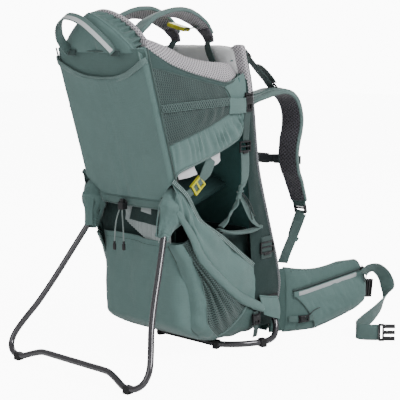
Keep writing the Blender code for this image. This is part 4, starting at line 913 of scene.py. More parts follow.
# =============================================================== collar round the cabin's mouth
TL = [(0.1200, 0.1110, 0.6830), (0.1390, 0.1160, 0.6770), (0.1760, 0.1180, 0.6650), (0.2300, 0.1190, 0.6460), (0.2910, 0.1190, 0.6350), (0.3450, 0.1170, 0.6310),
      (0.3720, 0.1060, 0.6300), (0.3850, 0.0840, 0.6300)]
LL = [(0.1080, 0.1220, 0.6690), (0.1330, 0.1300, 0.6515), (0.1700, 0.1350, 0.6330), (0.2250, 0.1372, 0.6160), (0.2850, 0.1378, 0.6030), (0.3350, 0.1365, 0.5945),
      (0.3780, 0.1270, 0.6060), (0.3960, 0.1000, 0.6140)]
for side, s in SIDES:
    K = 110
    T_, L_ = curve(TL, K), curve(LL, K)
    rings = []
    for i in range(K):
        tp, lo = T_[i], L_[i]
        inn = np.array([-0.15, -1.0, 0.0]) if i < K * 0.8 else np.array([-0.8, -0.6, 0])
        inn = unit(inn)
        mid = (tp + lo) / 2
        out = np.array([0, 1.0, 0.0]) if i < K * 0.8 else unit(np.array([0.6, 0.8, 0]))
        f = 0.6 + 0.4 * math.sin(math.pi * i / (K - 1))
        ctl = [lo + inn * 0.002, lo + out * 0.001 + (tp - lo) * 0.12, mid + out * 0.0060 * f, tp * 0.75 + lo * 0.25 + out * 0.0070 * f, tp + np.array([0, 0, 0.0045]) + out * 0.0020,
               tp + inn * 0.009 + np.array([0, 0, 0.0042]), tp + inn * 0.0165 + np.array([0, 0, -0.003]), tp + inn * 0.0180 + np.array([0, 0, -0.020]),
               tp + inn * 0.0140 + np.array([0, 0, -0.040]), tp + inn * 0.0085 + np.array([0, 0, -0.040]), tp + inn * 0.004 + np.array([0, 0, -0.020]), lo + inn * 0.006 + np.array([0, 0, 0.004])]
        ring = curve([tuple(c) for c in ctl] + [tuple(ctl[0])], 31)[:-1]
        wob = np.array([noise.noise(Vector(p * 35)) for p in ring])[:, None]
        ring = ring + np.array([[0, 1, 0.4]]) * wob * 0.0012
        ring[:, 1] *= s
        rings.append(ring)
    c = loft("collar_pad_" + side, rings, M["pale_mesh"], "carrier")
    if s < 0:
        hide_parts("collar")
    edge = [(x, s * (y + 0.0022), z - 0.0012) for x, y, z in LL]
    e = strap("collar_edge_" + side, edge, (0, 0.25 * s, 1.0), 0.0060, 0.0024, M["binding_dark"], "carrier", count=80)
    stitches("collar_stitch_" + side, curve([(x, y + s * 0.0016, z) for x, y, z in edge], 120), (0, s, 0), "carrier", M["thread_dark"])
# the collar's front, under the drool pad
rings = []
for y in np.linspace(-0.088, 0.088, 40):
    c = np.array([0.3850, y, 0.6150])
    rings.append([c + np.array([math.cos(a) * 0.0085, 0, math.sin(a) * 0.0180]) for a in np.linspace(0, 2 * math.pi, 18, endpoint=False)])
cf = loft("collar_front", rings, M["pale_mesh"], "carrier")

# =============================================================== side wings, their pockets and straps
WB = [(rear_x(0.402) + 0.0105, 0.1300, 0.4000), (0.1900, 0.1365, 0.4160), (0.2600, 0.1385, 0.4350), (0.3460, 0.1390, 0.4620), (0.3800, 0.1388, 0.4830), (0.3900, 0.1380, 0.5260), (0.3895, 0.1370, 0.5580)]
WT = [(0.1020, 0.1240, 0.6740), (0.1340, 0.1315, 0.6520), (0.1700, 0.1355, 0.6340), (0.2250, 0.1375, 0.6170), (0.2850, 0.1380, 0.6040), (0.3350, 0.1365, 0.5960), (0.3980, 0.1300, 0.6150)]
WM = [(rear_x(0.530) + 0.0105, 0.1335, 0.530), (0.170, 0.1400, 0.525), (0.225, 0.1425, 0.528), (0.285, 0.1432, 0.534), (0.340, 0.1425, 0.545), (0.375, 0.1400, 0.562), (0.3935, 0.1375, 0.585)]
WQ = [(rear_x(0.465) + 0.0105, 0.1325, 0.465), (0.185, 0.1395, 0.466), (0.248, 0.1425, 0.478), (0.315, 0.1430, 0.497), (0.362, 0.1420, 0.520), (0.3840, 0.1395, 0.545), (0.3915, 0.1373, 0.5720)]
for side, s in SIDES:
    m_, n_ = 70, 110
    P = patch([side_pts(r, -s) for r in (WB, WQ, WM, WT)], m_, n_)
    N_ = normals(P)
    u = np.linspace(0, 1, n_)[None, :]
    v = np.linspace(0, 1, m_)[:, None]
    fold = np.sin(2 * math.pi * (u * 17 + 0.35 * np.sin(u * 23) + 0.6 * v)) * np.exp(-((v - 0.17) / 0.15) ** 2) * 0.0040 * (0.35 + 0.65 * u)
    fold += np.sin(2 * math.pi * (u * 31 + 0.2 * np.sin(u * 40))) * np.exp(-((v - 0.30) / 0.07) ** 2) * 0.0010
    d = fold + noisy(P, 20, 0.0030, 2.0) + noisy(P, 55, 0.0010, 9.0)
    d = d * np.clip(v / 0.06, 0.15, 1)
    P = P + N_ * d[..., None]
    w = shell("side_wing_%s_cloth" % side, P, 0.0007, 0.0007, M["shell"], "carrier")
    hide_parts("side_wing_" + side)
    # inner face
    P = patch([side_pts([(x, y - 0.0085, z) for x, y, z in r], -s) for r in (WB, WQ, WM, WT)], 20, 40)
    shell("side_wing_%s_lining" % side, P, 0.0006, 0.0006, M["deep"], "carrier")
    # hem along the wing's foot
    hem = [(x, s * (y + 0.0008), z + 0.0022) for x, y, z in WB]
    strap("wing_hem_" + side, hem, (0, 0.1 * s, 1.0), 0.0062, 0.0030, M["binding"], "carrier", count=90)
    stitches("wing_hem_stitch_" + side, curve([(x, y + s * 0.0016, z + 0.0006) for x, y, z in hem], 160), (0, s, 0), "carrier", M["thread"])
    # stretch net pocket
    B = [(0.1570, 0.1370, 0.4740), (0.2050, 0.1455, 0.4890), (0.2700, 0.1475, 0.5080), (0.3400, 0.1450, 0.5320)]
    Q = [(0.1460, 0.1375, 0.5130), (0.2050, 0.1480, 0.5200), (0.2750, 0.1500, 0.5280), (0.3380, 0.1455, 0.5420)]
    Md = [(0.1360, 0.1370, 0.5490), (0.1980, 0.1470, 0.5520), (0.2700, 0.1490, 0.5540), (0.3360, 0.1450, 0.5560)]
    Q2 = [(0.1235, 0.1360, 0.5940), (0.1850, 0.1440, 0.5850), (0.2600, 0.1465, 0.5790), (0.3300, 0.1435, 0.5700)]
    Tp = [(0.1135, 0.1345, 0.6310), (0.1700, 0.1390, 0.6185), (0.2500, 0.1415, 0.6010), (0.3200, 0.1408, 0.5870)]
    m_, n_ = 60, 90
    P = patch([side_pts(r, -s) for r in (B, Q, Md, Q2, Tp)], m_, n_)
    u = np.linspace(0, 1, n_)[None, :]
    v = np.linspace(0, 1, m_)[:, None]
    g = np.sin(2 * math.pi * (u * 5.0 - v * 2.4 + 0.3 * np.sin(5 * v + 7 * u))) * np.exp(-((v - 0.24) / 0.16) ** 2) * np.clip((u - 0.1) * 2, 0, 1) * 0.0022
    g += np.sin(2 * math.pi * (u * 11.0 + 1.2 * v)) * np.exp(-((v - 0.45) / 0.08) ** 2) * 0.0009
    edge = np.minimum(np.minimum(u, 1 - u) / 0.05, np.minimum(v, 1 - v) / 0.06).clip(0, 1)
    P = P + normals(P) * ((g + noisy(P, 26, 0.0022, 5.0)) * edge)[..., None]
    # painted shade: a darker sheet laid over the wing above the pocket, for the shade under the collar
    TF = [(x + 0.004, y + 0.0022, z - 0.003) for x, y, z in WT[:6]]
    LF = [(0.1125, 0.1345, 0.6320), (0.1420, 0.1385, 0.6260), (0.1700, 0.1392, 0.6190), (0.2250, 0.1412, 0.6070), (0.2780, 0.1420, 0.5960), (0.3230, 0.1405, 0.5868)]
    MF = [tuple((np.array(a) + np.array(b)) / 2 + np.array([0, 0.0012, 0])) for a, b in zip(TF, LF)]
    PF = patch([side_pts(r, -s) for r in (LF, MF, TF)], 20, 70)
    PF = PF + normals(PF) * noisy(PF, 30, 0.0012, 3.0)[..., None]
    shell("wing_painted_shade_" + side, PF, 0.0005, 0.0005, M["shade"], "carrier")
    nt = shell("wing_pocket_net_" + side, P, 0.0004, 0.0004, M["net_fine"], "carrier")
    band = [(0.1350, s * 0.1385, 0.5490), (0.1980, s * 0.1492, 0.5525), (0.2700, s * 0.1512, 0.5545), (0.3350, s * 0.1472, 0.5560)]
    strap("wing_pocket_elastic_" + side, band, (0, 0.02 * s, 1.0), 0.0165, 0.0012, M["net"], "carrier", count=70, wave=0.0003)
    for k, dz in (("a", 0.0078), ("b", -0.0078)):
        stitches("wing_pocket_elastic_stitch_%s_%s" % (side, k), curve([(x, y + s * 0.0011, z + dz) for x, y, z in band], 120), (0, s, 0), "carrier", M["thread"], pitch=0.0034)
    tube("wing_pocket_seam_top_" + side, side_pts(Tp, -s), 0.0016, M["binding_dark"], "carrier", 8, 70)
    tube("wing_pocket_seam_low_" + side, side_pts(B, -s), 0.0014, M["binding_dark"], "carrier", 8, 70)
    tube("wing_pocket_seam_front_" + side, side_pts([B[-1], (0.3400, 0.1452, 0.5560), (0.3310, 0.1440, 0.5760), Tp[-1]], -s), 0.0014, M["binding_dark"], "carrier", 8, 40)
    tube("wing_pocket_seam_rear_" + side, side_pts([B[0], Md[0], Q2[0], Tp[0]], -s), 0.0013, M["binding_dark"], "carrier", 8, 50)
    # tab to the back frame, with its buckle
    P = patch([side_pts(r, -s) for r in ([(0.3320, 0.1462, 0.5300), (0.3600, 0.1475, 0.5290), (0.3900, 0.1430, 0.5290)],
                                         [(0.3320, 0.1480, 0.5470), (0.3600, 0.1492, 0.5460), (0.3900, 0.1440, 0.5450)],
                                         [(0.3320, 0.1462, 0.5640), (0.3600, 0.1475, 0.5620), (0.3900, 0.1430, 0.5610)])], 16, 26)
    shell("wing_tab_" + side, P, 0.0012, 0.0012, M["shell"], "carrier")
    for k, zz in (("a", 0.5312), ("b", 0.5618)):
        stitches("wing_tab_stitch_%s_%s" % (side, k), curve([(0.3325, s * 0.1477, zz), (0.3600, s * 0.1492, zz - 0.0006), (0.3895, s * 0.1446, zz - 0.001)], 30), (0, s, 0), "carrier", M["thread"])
    T = np.stack([(0, 0, -1.0), (1.0 * -s, 0, 0), (0, 1.0 * s, 0)], 1)
    side_release("wing_buckle_" + side, (0.4000, s * 0.1430, 0.5520), T, 0.0225, 0.0420, "carrier", M["black"])
    strap("frame_webbing_upper_" + side, [(0.3985, s * 0.1415, 0.5330), (0.3955, s * 0.1412, 0.5050), (0.3925, s * 0.1412, 0.4680)], (1, 0, 0), 0.0200, 0.0018, M["web_dark"], "carrier", count=26)
    ladder_lock("frame_ladder_lock_" + side, (0.3890, s * 0.1432, 0.4560), T, 0.0300, 0.0240, "carrier", M["black"])

# =============================================================== foot stirrups
for side, s in SIDES:
    body = "stirrup_" + side
    up_ = strap("stirrup_%s_tape" % side, [(0.3905, s * 0.1405, 0.4470), (0.3915, s * 0.1412, 0.4200), (0.3905, s * 0.1410, 0.3900), (0.3840, s * 0.1400, 0.3680)], (1, 0, 0),
                [0.0270, 0.0270, 0.0250, 0.0140], 0.0019, M["web"], body, count=40)
    rings = []
    for i in range(16):
        k = i / 15
        c = np.array([0.3830 - 0.0120 * k, s * 0.1397, 0.3740 - 0.0300 * k])
        rad = 0.0085 * (1 - 0.28 * math.sin(math.pi * k) ** 2)
        rings.append([c + np.array([math.cos(a) * rad * (1 + 0.16 * math.sin(5 * a + k * 5)), math.sin(a) * rad * 0.55, 0.3 * math.cos(a) * rad]) for a in np.linspace(0, 2 * math.pi, 24, endpoint=False)])
    kn = loft("stirrup_%s_gather" % side, rings, M["web"], body)
    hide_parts("foot_stirrup_" + side)
    tube("stirrup_%s_wrap" % side, [(0.3765 + 0.0085 * math.cos(a), s * 0.1397 + 0.0055 * math.sin(a), 0.3585 + 0.0015 * math.cos(a)) for a in np.linspace(0, 2 * math.pi, 20)], 0.0016, M["binding"], body, 8, 40)
    left = strap("stirrup_%s_rear_leg" % side, [(0.3720, s * 0.1400, 0.3480), (0.3590, s * 0.1430, 0.3310), (0.3450, s * 0.1400, 0.3140), (0.3280, s * 0.1420, 0.2990), (0.3130, s * 0.1400, 0.2880)],
                 [(0.7, 0.6, -0.5), (0.2, 0.9, 0.3), (0.7, 0.5, -0.5), (0.3, 0.9, 0.1), (0.2, 0.95, 0.1)], [0.009, 0.013, 0.012, 0.014, 0.018], 0.0046, M["web"], body, count=50)
    right = strap("stirrup_%s_front_leg" % side, [(0.3770, s * 0.1400, 0.3480), (0.3900, s * 0.1430, 0.3260), (0.4070, s * 0.1440, 0.3020), (0.4240, s * 0.1430, 0.2860), (0.4420, s * 0.1400, 0.2760)],
                  [(0.8, 0.1, 0.4), (0.8, 0.2, 0.45), (0.8, 0.3, 0.45), (0.6, 0.6, 0.4), (0.3, 0.9, 0.3)], [0.009, 0.016, 0.021, 0.024, 0.024], 0.0022, M["web"], body, count=50)
    bar = []
    BL = curve([(0.3060, s * 0.1400, 0.2840), (0.3350, s * 0.1425, 0.2740), (0.3750, s * 0.1440, 0.2690), (0.4150, s * 0.1430, 0.2690), (0.4480, s * 0.1400, 0.2740)], 50)
    for i, c in enumerate(BL):
        k = i / 49
        ry, rz = 0.0125 * (0.55 + 0.45 * math.sin(math.pi * k) ** 0.5), 0.0048 * (0.6 + 0.4 * math.sin(math.pi * k) ** 0.5)
        bar.append([c + np.array([0, math.cos(a) * ry, math.sin(a) * rz * (1.0 if math.sin(a) > 0 else 0.8)]) for a in np.linspace(0, 2 * math.pi, 20, endpoint=False)])
    br = loft("stirrup_%s_foot_bar" % side, bar, M["web"], body)
    for k, (a, b) in enumerate((((0.3800, s * 0.1435, 0.3560), (0.4180, s * 0.1470, 0.3000)), ((0.3790, s * 0.1445, 0.3520), (0.4080, s * 0.1490, 0.2930)))):
        tube("stirrup_%s_cord_%d" % (side, k), [a, tuple((np.array(a) + np.array(b)) / 2 + np.array([0.003, 0.001 * s, 0.003])), b], 0.0012, M["cord_dark"], body, 8, 24)

# =============================================================== the leg openings' side panels, with the roll of cloth at their foot
HEM = [(0.1700, 0.1350, 0.4030), (0.2072, 0.1385, 0.3700), (0.2304, 0.1395, 0.3330), (0.2529, 0.1400, 0.3070), (0.3145, 0.1400, 0.2690), (0.3864, 0.1395, 0.2170), (0.4215, 0.1385, 0.1930)]
LOW = [(0.1760, 0.1350, 0.3400), (0.1960, 0.1390, 0.3150), (0.2160, 0.1410, 0.2900), (0.2497, 0.1430, 0.2280), (0.3116, 0.1435, 0.1720), (0.3700, 0.1435, 0.1280), (0.4255, 0.1420, 0.1000)]
MID = [tuple((np.array(a) + np.array(b)) / 2 + np.array([0, 0.0055, 0])) for a, b in zip(HEM, LOW)]
for side, s in SIDES:
    m_, n_ = 50, 100
    P = patch([side_pts(r, -s) for r in (LOW, MID, HEM)], m_, n_)
    u = np.linspace(0, 1, n_)[None, :]
    v = np.linspace(0, 1, m_)[:, None]
    g = 0.0032 * np.sin(2 * math.pi * (v * 1.7 + 0.8 * u)) * np.exp(-((u - 0.35) / 0.25) ** 2)
    g = g + 0.0050 * np.sin(2 * math.pi * (u * 9 + v * 1.2)) * np.exp(-(u / 0.16) ** 2) * np.exp(-((v - 0.4) / 0.5) ** 2)
    P = P + normals(P) * (g + noisy(P, 20, 0.0058, 4.0) + noisy(P, 52, 0.0018, 1.0))[..., None]
    w = shell("leg_panel_" + side, P, 0.0007, 0.0007, M["shell"], "carrier")
    hp = [(x, s * (y + 0.0010), z) for x, y, z in HEM] + [(0.4250, s * 0.1395, 0.1560), (0.4256, s * 0.1400, 0.1180)]
    hq = curve([(x, y + s * 0.0012, z - 0.0030) for x, y, z in hp[:7]], 120)
    t1 = strap("leg_hem_" + side, [tuple(q) for q in hq[::4]], [tuple(np.cross(tv, (0, 1.0, 0)) + np.array([0, 0.05 * s, 0])) for tv in tangents(hq)[::4]], 0.0115, 0.0028, M["binding_dark"], "carrier", count=120)
    for kk, oo in (("p", 0.0032), ("q", 0.0), ("r", -0.0032)):
        off = np.cross(tangents(hq), (0, 1.0, 0)) * oo
        stitches("leg_hem_row_%s_%s" % (side, kk), hq + off + np.array([0, 0.0013 * s, 0]), (0, s, 0), "carrier", M["thread_light"], pitch=0.0050, size=(0.0036, 0.0018, 0.0009))
    tube("leg_front_seam_" + side, hp[6:], 0.0016, M["binding"], "carrier", 8, 30)
    # roll
    RL = curve([(0.1800, 0.1400, 0.3380), (0.2020, 0.1430, 0.3050), (0.2190, 0.1450, 0.2800), (0.2520, 0.1465, 0.2240), (0.3130, 0.1470, 0.1680), (0.3710, 0.1465, 0.1250), (0.4300, 0.1445, 0.0960), (0.4560, 0.1420, 0.0860)], 110)
    tt = tangents(RL)
    rings = []
    for i, c in enumerate(RL):
        k = i / 109
        rad = 0.0105 * (0.62 + 0.38 * min(1, k / 0.3)) * (1 + 0.10 * noise.noise(Vector((k * 14, 0.3, 0))))
        a1 = unit(np.cross(tt[i], np.array([0, 1.0, 0])))
        ring = []
        for a in np.linspace(0, 2 * math.pi, 24, endpoint=False):
            r2 = rad * (1 + 0.10 * noise.noise(Vector((k * 26 + 2 * math.cos(a), 2 * math.sin(a), 4.0))))
            ring.append(c + a1 * math.cos(a) * r2 + np.array([0, 1, 0]) * math.sin(a) * r2 * 0.62)
        ring = np.array(ring)
        ring[:, 1] *= s
        rings.append(ring)
    ro = loft("leg_roll_" + side, rings, M["shell"], "carrier")

# =============================================================== back panel: sides, lining and the wearer's face
ED = [(0.3950, 0.1385, 0.6000), (0.3960, 0.1385, 0.5500), (0.4030, 0.1385, 0.4500), (0.4060, 0.1385, 0.3800), (0.4095, 0.1385, 0.3000), (0.4160, 0.1385, 0.2200),
      (0.4215, 0.1385, 0.1900), (0.4250, 0.1385, 0.1530), (0.4270, 0.1385, 0.1190), (0.4400, 0.1330, 0.0620), (0.4480, 0.1200, 0.0350)]
for side, s in SIDES:
    rows = []
    for x, y, z in ED:
        xf = back_x(z) - 0.0015
        yy = y if z > 0.115 else min(y, 0.1180 + 0.0205 * max(0, (z - 0.05) / 0.065))
        rows.append([(x, s * (yy - 0.0010), z), ((x + xf) / 2, s * (yy + 0.0010), z), (xf, s * (yy - 0.0025), z)])
    P = patch(rows, 90, 22)
    P = P + normals(P) * noisy(P, 26, 0.0018, 6.0)[..., None]
    g = shell("back_side_" + side, P, 0.0007, 0.0007, M["gusset"], "carrier")
    # pale piping where the wearer's mesh meets the side
    e = [(back_x(z) - 0.0005, s * (0.1370 if z > 0.12 else 0.1180 + 0.019 * max(0, (z - 0.06) / 0.06)), z) for z in np.linspace(0.610, 0.060, 24)]
    ed = tube("back_edge_" + side, e, 0.0036, M["edge_mesh"], "carrier", 10, 130)
# the child's side
P = np.zeros((60, 40, 3))
for i, z in enumerate(np.linspace(0.030, 0.604, 60)):
    for j, t in enumerate(np.linspace(-1, 1, 40)):
        hw = 0.1375 if z > 0.115 else 0.1180 + 0.0195 * max(0, (z - 0.05) / 0.065)
        x = back_x(z) - 0.0375 + 0.0035 * (1 - t * t) * 0 + 0.0015 * noise.noise(Vector((t * 3, z * 14, 2)))
        P[i, j] = (min(x, 0.4745), hw * t, z)
ln = shell("back_lining", P, 0.0008, 0.0008, M["ink"], "carrier")
# the wearer's side: spacer mesh over two long cushions
m_, n_ = 100, 80
P = np.zeros((m_, n_, 3))
F = np.zeros((m_, n_))
for i, z in enumerate(np.linspace(0.050, 0.604, m_)):
    for j, t in enumerate(np.linspace(-1, 1, n_)):
        hw = 0.1365 if z > 0.120 else 0.1165 + 0.020 * max(0, (z - 0.05) / 0.07)
        P[i, j] = (back_x(z) - 0.0010, -hw * t, z)
        gap = math.exp(-(t / 0.20) ** 4)
        seams = max(math.exp(-((z - zc) / 0.007) ** 2) for zc in (0.185, 0.300, 0.425))
        F[i, j] = 0.0012 + 0.0068 * (1 - gap) * (1 - 0.75 * seams) * (1 - abs(t) ** 10) * max(0.0, min(1, (0.535 - z) / 0.03, (z - 0.050) / 0.02))
bp = shell("back_panel_mesh", P, F, 0.0060, [M["dark_mesh"], M["deep"], M["binding_dark"]], "carrier")
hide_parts("back_panel")

# =============================================================== sleeves of cloth round the kickstand's hinges
SLEEVE = [(0.1905, 0.1170, 0.3860), (0.1905, 0.1185, 0.3740), (0.1895, 0.1190, 0.3560), (0.1850, 0.1180, 0.3300), (0.1760, 0.1130, 0.3060), (0.1690, 0.1090, 0.2900), (0.1650, 0.1065, 0.2800)]
for side, s in SIDES:
    K = 80
    c_ = curve([(x, s * y, z) for x, y, z in SLEEVE], K)
    tt = tangents(c_)
    rings = []
    for i in range(K):
        k = i / (K - 1)
        ry = float(np.interp(k, [0, 0.15, 0.35, 0.62, 0.80, 0.90, 1.0], [0.006, 0.0195, 0.0245, 0.0215, 0.0155, 0.0125, 0.0120]))
        rx = float(np.interp(k, [0, 0.15, 0.35, 0.62, 0.80, 0.90, 1.0], [0.008, 0.0240, 0.0320, 0.0270, 0.0180, 0.0130, 0.0122]))
        a1 = unit(np.cross(tt[i], np.array([0, 1.0, 0])))
        a2 = unit(np.cross(a1, tt[i]))
        ring = []
        for a in np.linspace(0, 2 * math.pi, 64, endpoint=False):
            w = 0.0014 * math.sin(4 * a + 3 * k + 1.0 * math.sin(3 * a)) * math.sin(math.pi * min(1, k * 1.15)) + 0.0060 * noise.noise(Vector((1.6 * math.cos(a), 1.6 * math.sin(a), k * 4 + s))) + 0.0010 * noise.noise(Vector((5 * math.cos(a), 5 * math.sin(a), k * 12 + s)))
            w += 0.0016 * (0.5 + 0.5 * math.sin(2 * math.pi * k * 19 + 1.5 * math.sin(a))) * math.exp(-((k - 0.9) / 0.09) ** 2)
            ring.append(c_[i] + a1 * math.cos(a) * (rx + w) + a2 * math.sin(a) * (ry + w * 0.8))
        rings.append(ring)
    inner_ = []
    for i in range(K - 1, int(K * 0.55), -6):
        inner_.append([c_[i] + (np.array(p) - c_[i]) * 0.82 for p in rings[i]])
    sl = loft("hinge_sleeve_" + side, rings + inner_, M["shell"], None)
    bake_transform(sl)
    # webbing loop laid over it
    wp = strap("hinge_sleeve_tape_" + side, [(0.1640, s * 0.1060 + s * 0.0010, 0.3560), (0.1600, s * 0.1050, 0.3400), (0.1560, s * 0.1045, 0.3180), (0.1545, s * 0.1040, 0.2980), (0.1540, s * 0.1035, 0.2850)],
               (0.72, -s * 0.69, 0), [0.0200, 0.0190, 0.0180, 0.0180, 0.0185], 0.0022, M["shell"], None, count=40)
    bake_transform(wp)

# =============================================================== hem channel under the rear panel
rings = []
for i, y in enumerate(np.linspace(0.1180, -0.1060, 130)):
    cz = 0.3450 + 0.0045 * abs(y / 0.12) ** 3
    cx = rear_x(cz) - 0.0010 + 0.010 * max(0, abs(y) - 0.095) / 0.02
    g = 0.0016 * math.sin(y * 190 + 2 * math.sin(y * 60)) * (0.3 + 0.7 * min(1, max(0, (y - 0.03) / 0.06)))
    ring = []
    for a in np.linspace(0, 2 * math.pi, 28, endpoint=False):
        ring.append((cx + math.cos(a) * (0.0065 + g) + 0.298 * 0.0 - 0.298 * math.sin(a) * 0.0125, y, cz + math.sin(a) * 0.0125))
    rings.append(ring)
# the hem channel takes the shell cloth made darker: painted shade
hc = loft("hem_channel", rings, M["shell_painted_shade"], "carrier")
for k, dz in (("a", 0.0072), ("b", -0.0085)):
    stitches("hem_channel_stitch_" + k, [(rear_x(0.345 + dz) - 0.0068, y, 0.3450 + dz + 0.0045 * abs(y / 0.12) ** 3) for y in np.linspace(0.104, -0.092, 60)], (-0.958, 0, -0.285), "carrier", M["thread_dark"])
for k, y in (("a", 0.0065), ("b", 0.0185)):
    tube("drawcord_eyelet_" + k, [(0.1705 + 0.0008 * math.cos(a), y + 0.0042 * math.cos(a), 0.3440 + 0.0042 * math.sin(a)) for a in np.linspace(0, 2 * math.pi, 24)], 0.0011, M["black"], "carrier", 8)

# ribbed light lining seen through the gap, with the dark patch on it
P = np.zeros((60, 110, 3))
for i, v in enumerate(np.linspace(0, 1, 60)):
    for j, u in enumerate(np.linspace(0, 1, 110)):
        y = 0.0420 - 0.1380 * u
        top = 0.3460
        bot = float(np.interp(u, [0, 0.10, 0.48, 0.78, 1.0], [0.300, 0.290, 0.2600, 0.2580, 0.262]))
        z = top + (bot - top) * v
        P[i, j] = (0.2060 + 0.0013 * math.sin(2 * math.pi * y / 0.0058) + 0.0010 * math.sin(9 * v + 30 * y), y, z)
shell("gap_lining", P, 0.0005, 0.0005, M["lining_grey"], "carrier")
P = np.zeros((20, 40, 3))
for i, v in enumerate(np.linspace(0, 1, 20)):
    for j, u in enumerate(np.linspace(0, 1, 40)):
        y0 = float(np.interp(v, [0, 1], [0.0120, 0.0260]))
        P[i, j] = (0.2032 + 0.0006 * math.sin(14 * u), y0 + (-0.0600 - y0) * u, 0.3440 + (0.3010 - 0.3440) * v - 0.006 * u * v)
shell("gap_lining_patch", P, 0.0007, 0.0007, M["gusset"], "carrier")
P = patch([[(0.2012, -0.0140, 0.3420), (0.2012, -0.0410, 0.3420)], [(0.2012, -0.0110, 0.3220), (0.2012, -0.0420, 0.3180)]], 10, 16)
shell("gap_lining_tag", P, 0.0005, 0.0005, M["lining_grey"], "carrier")

# =============================================================== lower bag
def bag_profile(z):
    k = min(max(z / 0.26, 0.0), 1.0)
    rear = 0.2040 + 0.200 * max(0.0, 1 - z / 0.088) ** 1.6
    front = min(back_x(z) - 0.040, 0.472)
    w = 0.1195 - 0.004 * k - 0.020 * max(0.0, 1 - z / 0.085)
    return rear, front, w


def bag_loop(z, inset, n=200, ripple=1.0):
    rear, front, w = bag_profile(z)
    rear, front, w = rear + inset, front - inset, w - inset
    c = 0.026 - inset
    segs = []
    # starts mid rear, runs along the rear face to +Y, round, along the side to the front, and back
    path = [(rear, 0.0), (rear, w - c)]
    for a in np.linspace(180, 90, 8)[1:]:
        path.append((rear + c + c * math.cos(math.radians(a)), w - c + c * math.sin(math.radians(a))))
    path.append((front - c, w))
    for a in np.linspace(90, 0, 8)[1:]:
        path.append((front - c + c * math.cos(math.radians(a)), w - c + c * math.sin(math.radians(a))))
    path.append((front, 0.0))
    half = np.array(path)
    other = half[::-1][1:-1] * np.array([1, -1])
    full = np.vstack([half, other, half[:1]])
    L = np.r_[0, np.cumsum(np.linalg.norm(np.diff(full, axis=0), axis=1))]
    q = np.linspace(0, L[-1], n, endpoint=False)
    x, y = np.interp(q, L, full[:, 0]), np.interp(q, L, full[:, 1])
    cx, cy = (rear + front) / 2, 0.0
    out = []
    zz = z
    top = max(0.0, (z - 0.10) / 0.16)
    for i in range(n):
        d = unit(np.array([x[i] - cx, (y[i] - cy) * 1.2, 0.0]))
        f = 0.0
        if ripple:
            rearness = max(0.0, -d[0])
            f += 0.0026 * rearness * math.sin(y[i] * 95 + 0.7 * math.sin(z * 30) + z * 12) * (0.25 + 0.75 * top)
            f += 0.0050 * rearness * math.exp(-((y[i] + 0.085) / 0.020) ** 2) * math.sin(z * 75 + 30 * y[i]) * min(1, top + 0.1)
            f += 0.0040 * noise.noise(Vector((x[i] * 16, y[i] * 16, z * 9))) + 0.0014 * noise.noise(Vector((x[i] * 48, y[i] * 48, z * 30)))
            f *= ripple
        zoff = 0.0
        if z > 0.24:
            zoff = (z - 0.24) / 0.026 * 0.0015 * math.sin(y[i] * 40) * max(0.0, -d[0])
            zoff += -(z - 0.24) / 0.026 * 0.0060 * max(0.0, -y[i] / 0.1) * max(0.0, -d[0])
        wide = 1 + 0.085 * top if y[i] > 0 else 1.0
        out.append((x[i] + d[0] * f, (y[i] + d[1] * f) * wide, zz + zoff))
    return out


zs_ = [0.0255, 0.0265, 0.0295, 0.036, 0.045] + list(np.linspace(0.055, 0.262, 46)) + [0.2650, 0.2672]
rings = [[(0.36 + (p[0] - 0.36) * 0.05, p[1] * 0.05, 0.0252) for p in bag_loop(0.0265, 0.02)]]
rings += [bag_loop(0.0262, 0.014, ripple=0.3), bag_loop(0.0275, 0.006, ripple=0.6)] + [bag_loop(z, 0.0) for z in zs_[2:]]
rings += [bag_loop(0.2672, 0.0016)] + [bag_loop(z, 0.0028) for z in (0.262, 0.240, 0.200, 0.150, 0.100, 0.060, 0.040)]
rings += [[(0.36 + (p[0] - 0.36) * 0.05, p[1] * 0.05, 0.0330) for p in bag_loop(0.040, 0.02)]]
R_ = np.array(rings, float)
k_, nn_ = R_.shape[:2]
outer_rows = 3 + len(zs_[2:])
V = R_.reshape(-1, 3)
Lh = np.r_[0, np.cumsum(np.linalg.norm(np.diff(R_[:, 0], axis=0), axis=1))]
Lc = np.linalg.norm(np.diff(R_[20], axis=0), axis=1).mean() * np.arange(nn_)
idx = np.arange(k_ * nn_).reshape(k_, nn_)
F_, K_ = [], []
for i in range(k_ - 1):
    for q in range(nn_):
        r = (q + 1) % nn_
        F_.append((idx[i, q], idx[i, r], idx[i + 1, r], idx[i + 1, q]))
        # faces inside the bag and on the shaded front corners of its sides take the dark gusset cloth: painted shade
        shaded = R_[i, q][0] > 0.275 and abs(R_[i, q][1]) > 0.085 and R_[i, q][2] > 0.10
        K_.append(0 if i < outer_rows and not shaded else 1)
F_ += [tuple(idx[0][::-1]), tuple(idx[-1])]
K_ += [0, 1]
UVb = np.stack([np.tile(Lc, k_), np.repeat(Lh, nn_)], 1)
bag = make("lower_bag_cloth", V, F_, UVb, [M["shell"], M["gusset"]], "carrier", K_)
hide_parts("lower_bag")
rim = [p for p in bag_loop(0.2655, -0.0006)]
hem_ = [(p[0], p[1], p[2] - 0.0100) for p in rim]
stitches("bag_rim_stitch", hem_[:62][::1], [(p[0] - 0.30, p[1], 0) for p in hem_[:62]], "carrier", M["thread_dark"])
stitches("bag_rim_stitch_b", hem_[-62:], [(p[0] - 0.30, p[1], 0) for p in hem_[-62:]], "carrier", M["thread_dark"])

